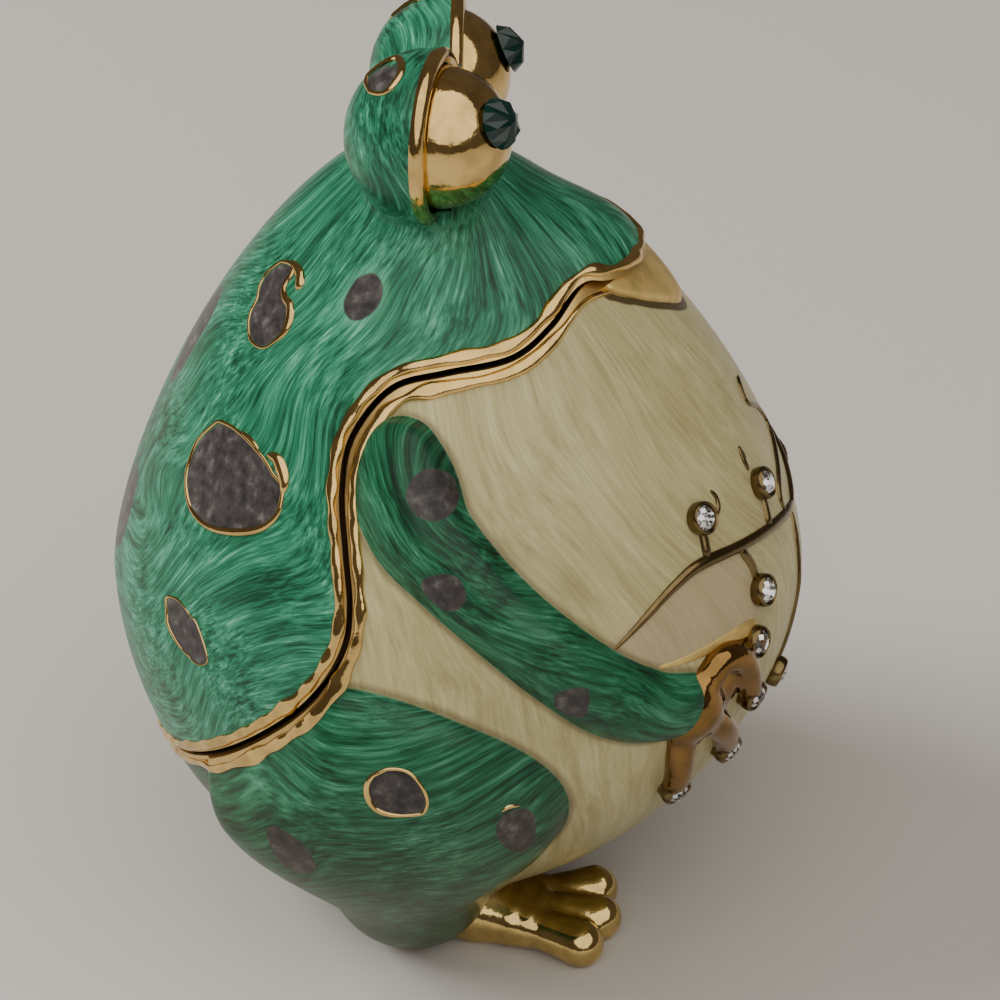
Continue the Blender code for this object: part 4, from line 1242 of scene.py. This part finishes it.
# The feet's gold is somewhat darker than the polished gold, as painted reflection of darker surroundings.
foot_gold = plated("foot_gold", (0.68, 0.50, 0.19), 0.10, 0.5)
dull_gold = plated("dull_gold", (0.20, 0.145, 0.065), 0.24, 0.4)
pale_gold = plated("pale_gold", (0.80, 0.58, 0.20), 0.45, 0.2, metal=0.6)
clear = plain("clear_stone", (0.97, 0.97, 0.97), 0.01, transmission=1.0)
dark_green = plain("dark_green_stone", (0.003, 0.022, 0.018), 0.05)
foil = plated("silver_foil", (0.85, 0.85, 0.87), 0.08, 0.0)


def keep_in_box(pieces):
    """Draws all the pieces in together where they would pass the box of the CAD solids."""
    places = {piece: points_of(piece) for piece in pieces}
    for axis in range(3):
        for sign, corner in ((-1.0, solid_box[0]), (1.0, solid_box[1])):
            limit = sign * corner[axis] / MM - BOX_MARGIN
            reach = max((points[:, axis] * sign).max() for points in places.values())
            if reach > limit:
                start = limit * BOX_EASE
                for points in places.values():
                    along = points[:, axis] * sign
                    drawn = start + (along - start) * (limit - start) / (reach - start)
                    points[:, axis] = np.where(along > start, drawn, along) * sign
    for piece, points in places.items():
        set_points(piece, points)


def dress(piece, material, node=None, angle=40.0):
    piece.data.materials.clear()
    piece.data.materials.append(material)
    take(piece)
    bpy.ops.object.shade_smooth_by_angle(angle=math.radians(angle))
    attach(piece, "root")
    if node:
        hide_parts(node)


keep_in_box([lid, base, chin, vine, cup_piece] + gold_pieces + gold_bands + [stone[0] for stone in stones])
dress(lid, green)
dress(base, cream)
for piece in gold_pieces:
    dress(piece, {"hand": amber_gold, "foot": foot_gold}.get(piece.name[:4], gold))
for piece in [chin] + gold_bands:
    dress(piece, pale_gold)
for piece in (vine, cup_piece):
    dress(piece, dull_gold)
for piece, node, slot in stones:
    dress(piece, dark_green if "green" in slot else clear, node, angle=1.0)
    if "green" not in slot:
        piece.data.materials.append(foil)
        for face in piece.data.polygons:
            if face.index % 7 in (2, 5, 6):
                face.material_index = 1

# Floor, light and camera
bpy.ops.mesh.primitive_plane_add(size=16.0, location=(0.0, 0.0, 0.0))
floor = bpy.context.object
floor.name = "floor"
floor.data.materials.append(plain("floor_finish", (0.56, 0.54, 0.51), 0.6))


def softbox(name, place, size, power, colour):
    lamp = bpy.data.lights.new(name, "AREA")
    lamp.shape = "DISK"
    lamp.size = size
    lamp.energy = power
    lamp.color = colour
    piece = bpy.data.objects.new(name, lamp)
    bpy.context.scene.collection.objects.link(piece)
    piece.visible_camera = False
    piece.location = place
    aim = Vector((0.0, 0.0, 0.035)) - piece.location
    piece.rotation_euler = aim.to_track_quat("-Z", "Y").to_euler()
    return piece


window = softbox("window", (0.00, 0.80, 0.65), 0.70, 12.0, (1.0, 0.97, 0.93))
window.visible_glossy = False
softbox("ceiling", (-0.52, -0.28, 0.92), 2.10, 15.5, (1.0, 0.95, 0.88))
world = bpy.data.worlds.new("studio")
world.use_nodes = True
background = world.node_tree.nodes["Background"]
background.inputs["Color"].default_value = (0.50, 0.42, 0.36, 1.0)
background.inputs["Strength"].default_value = 0.22
bpy.context.scene.world = world

CAMERA_AZIMUTH, CAMERA_ELEVATION, CAMERA_DISTANCE = -83.0, 30.0, 270.0
CAMERA_TARGET = np.array((0.0, -3.7, 36.7))
FOCAL_PIXELS, IMAGE_PIXELS, SENSOR_WIDTH = 3100.0, 1000.0, 36.0
azimuth, elevation = math.radians(CAMERA_AZIMUTH), math.radians(CAMERA_ELEVATION)
level = math.cos(elevation)
toward_camera = np.array((math.sin(azimuth) * level, -math.cos(azimuth) * level, math.sin(elevation)))
camera = bpy.data.objects.new("camera", bpy.data.cameras.new("camera"))
camera.data.sensor_width = SENSOR_WIDTH
camera.data.lens = SENSOR_WIDTH * FOCAL_PIXELS / IMAGE_PIXELS
camera.data.clip_start = 0.01
camera.location = Vector(CAMERA_TARGET + toward_camera * CAMERA_DISTANCE) * MM
camera.rotation_euler = Vector(toward_camera).to_track_quat("Z", "Y").to_euler()
bpy.context.scene.collection.objects.link(camera)
bpy.context.scene.camera = camera
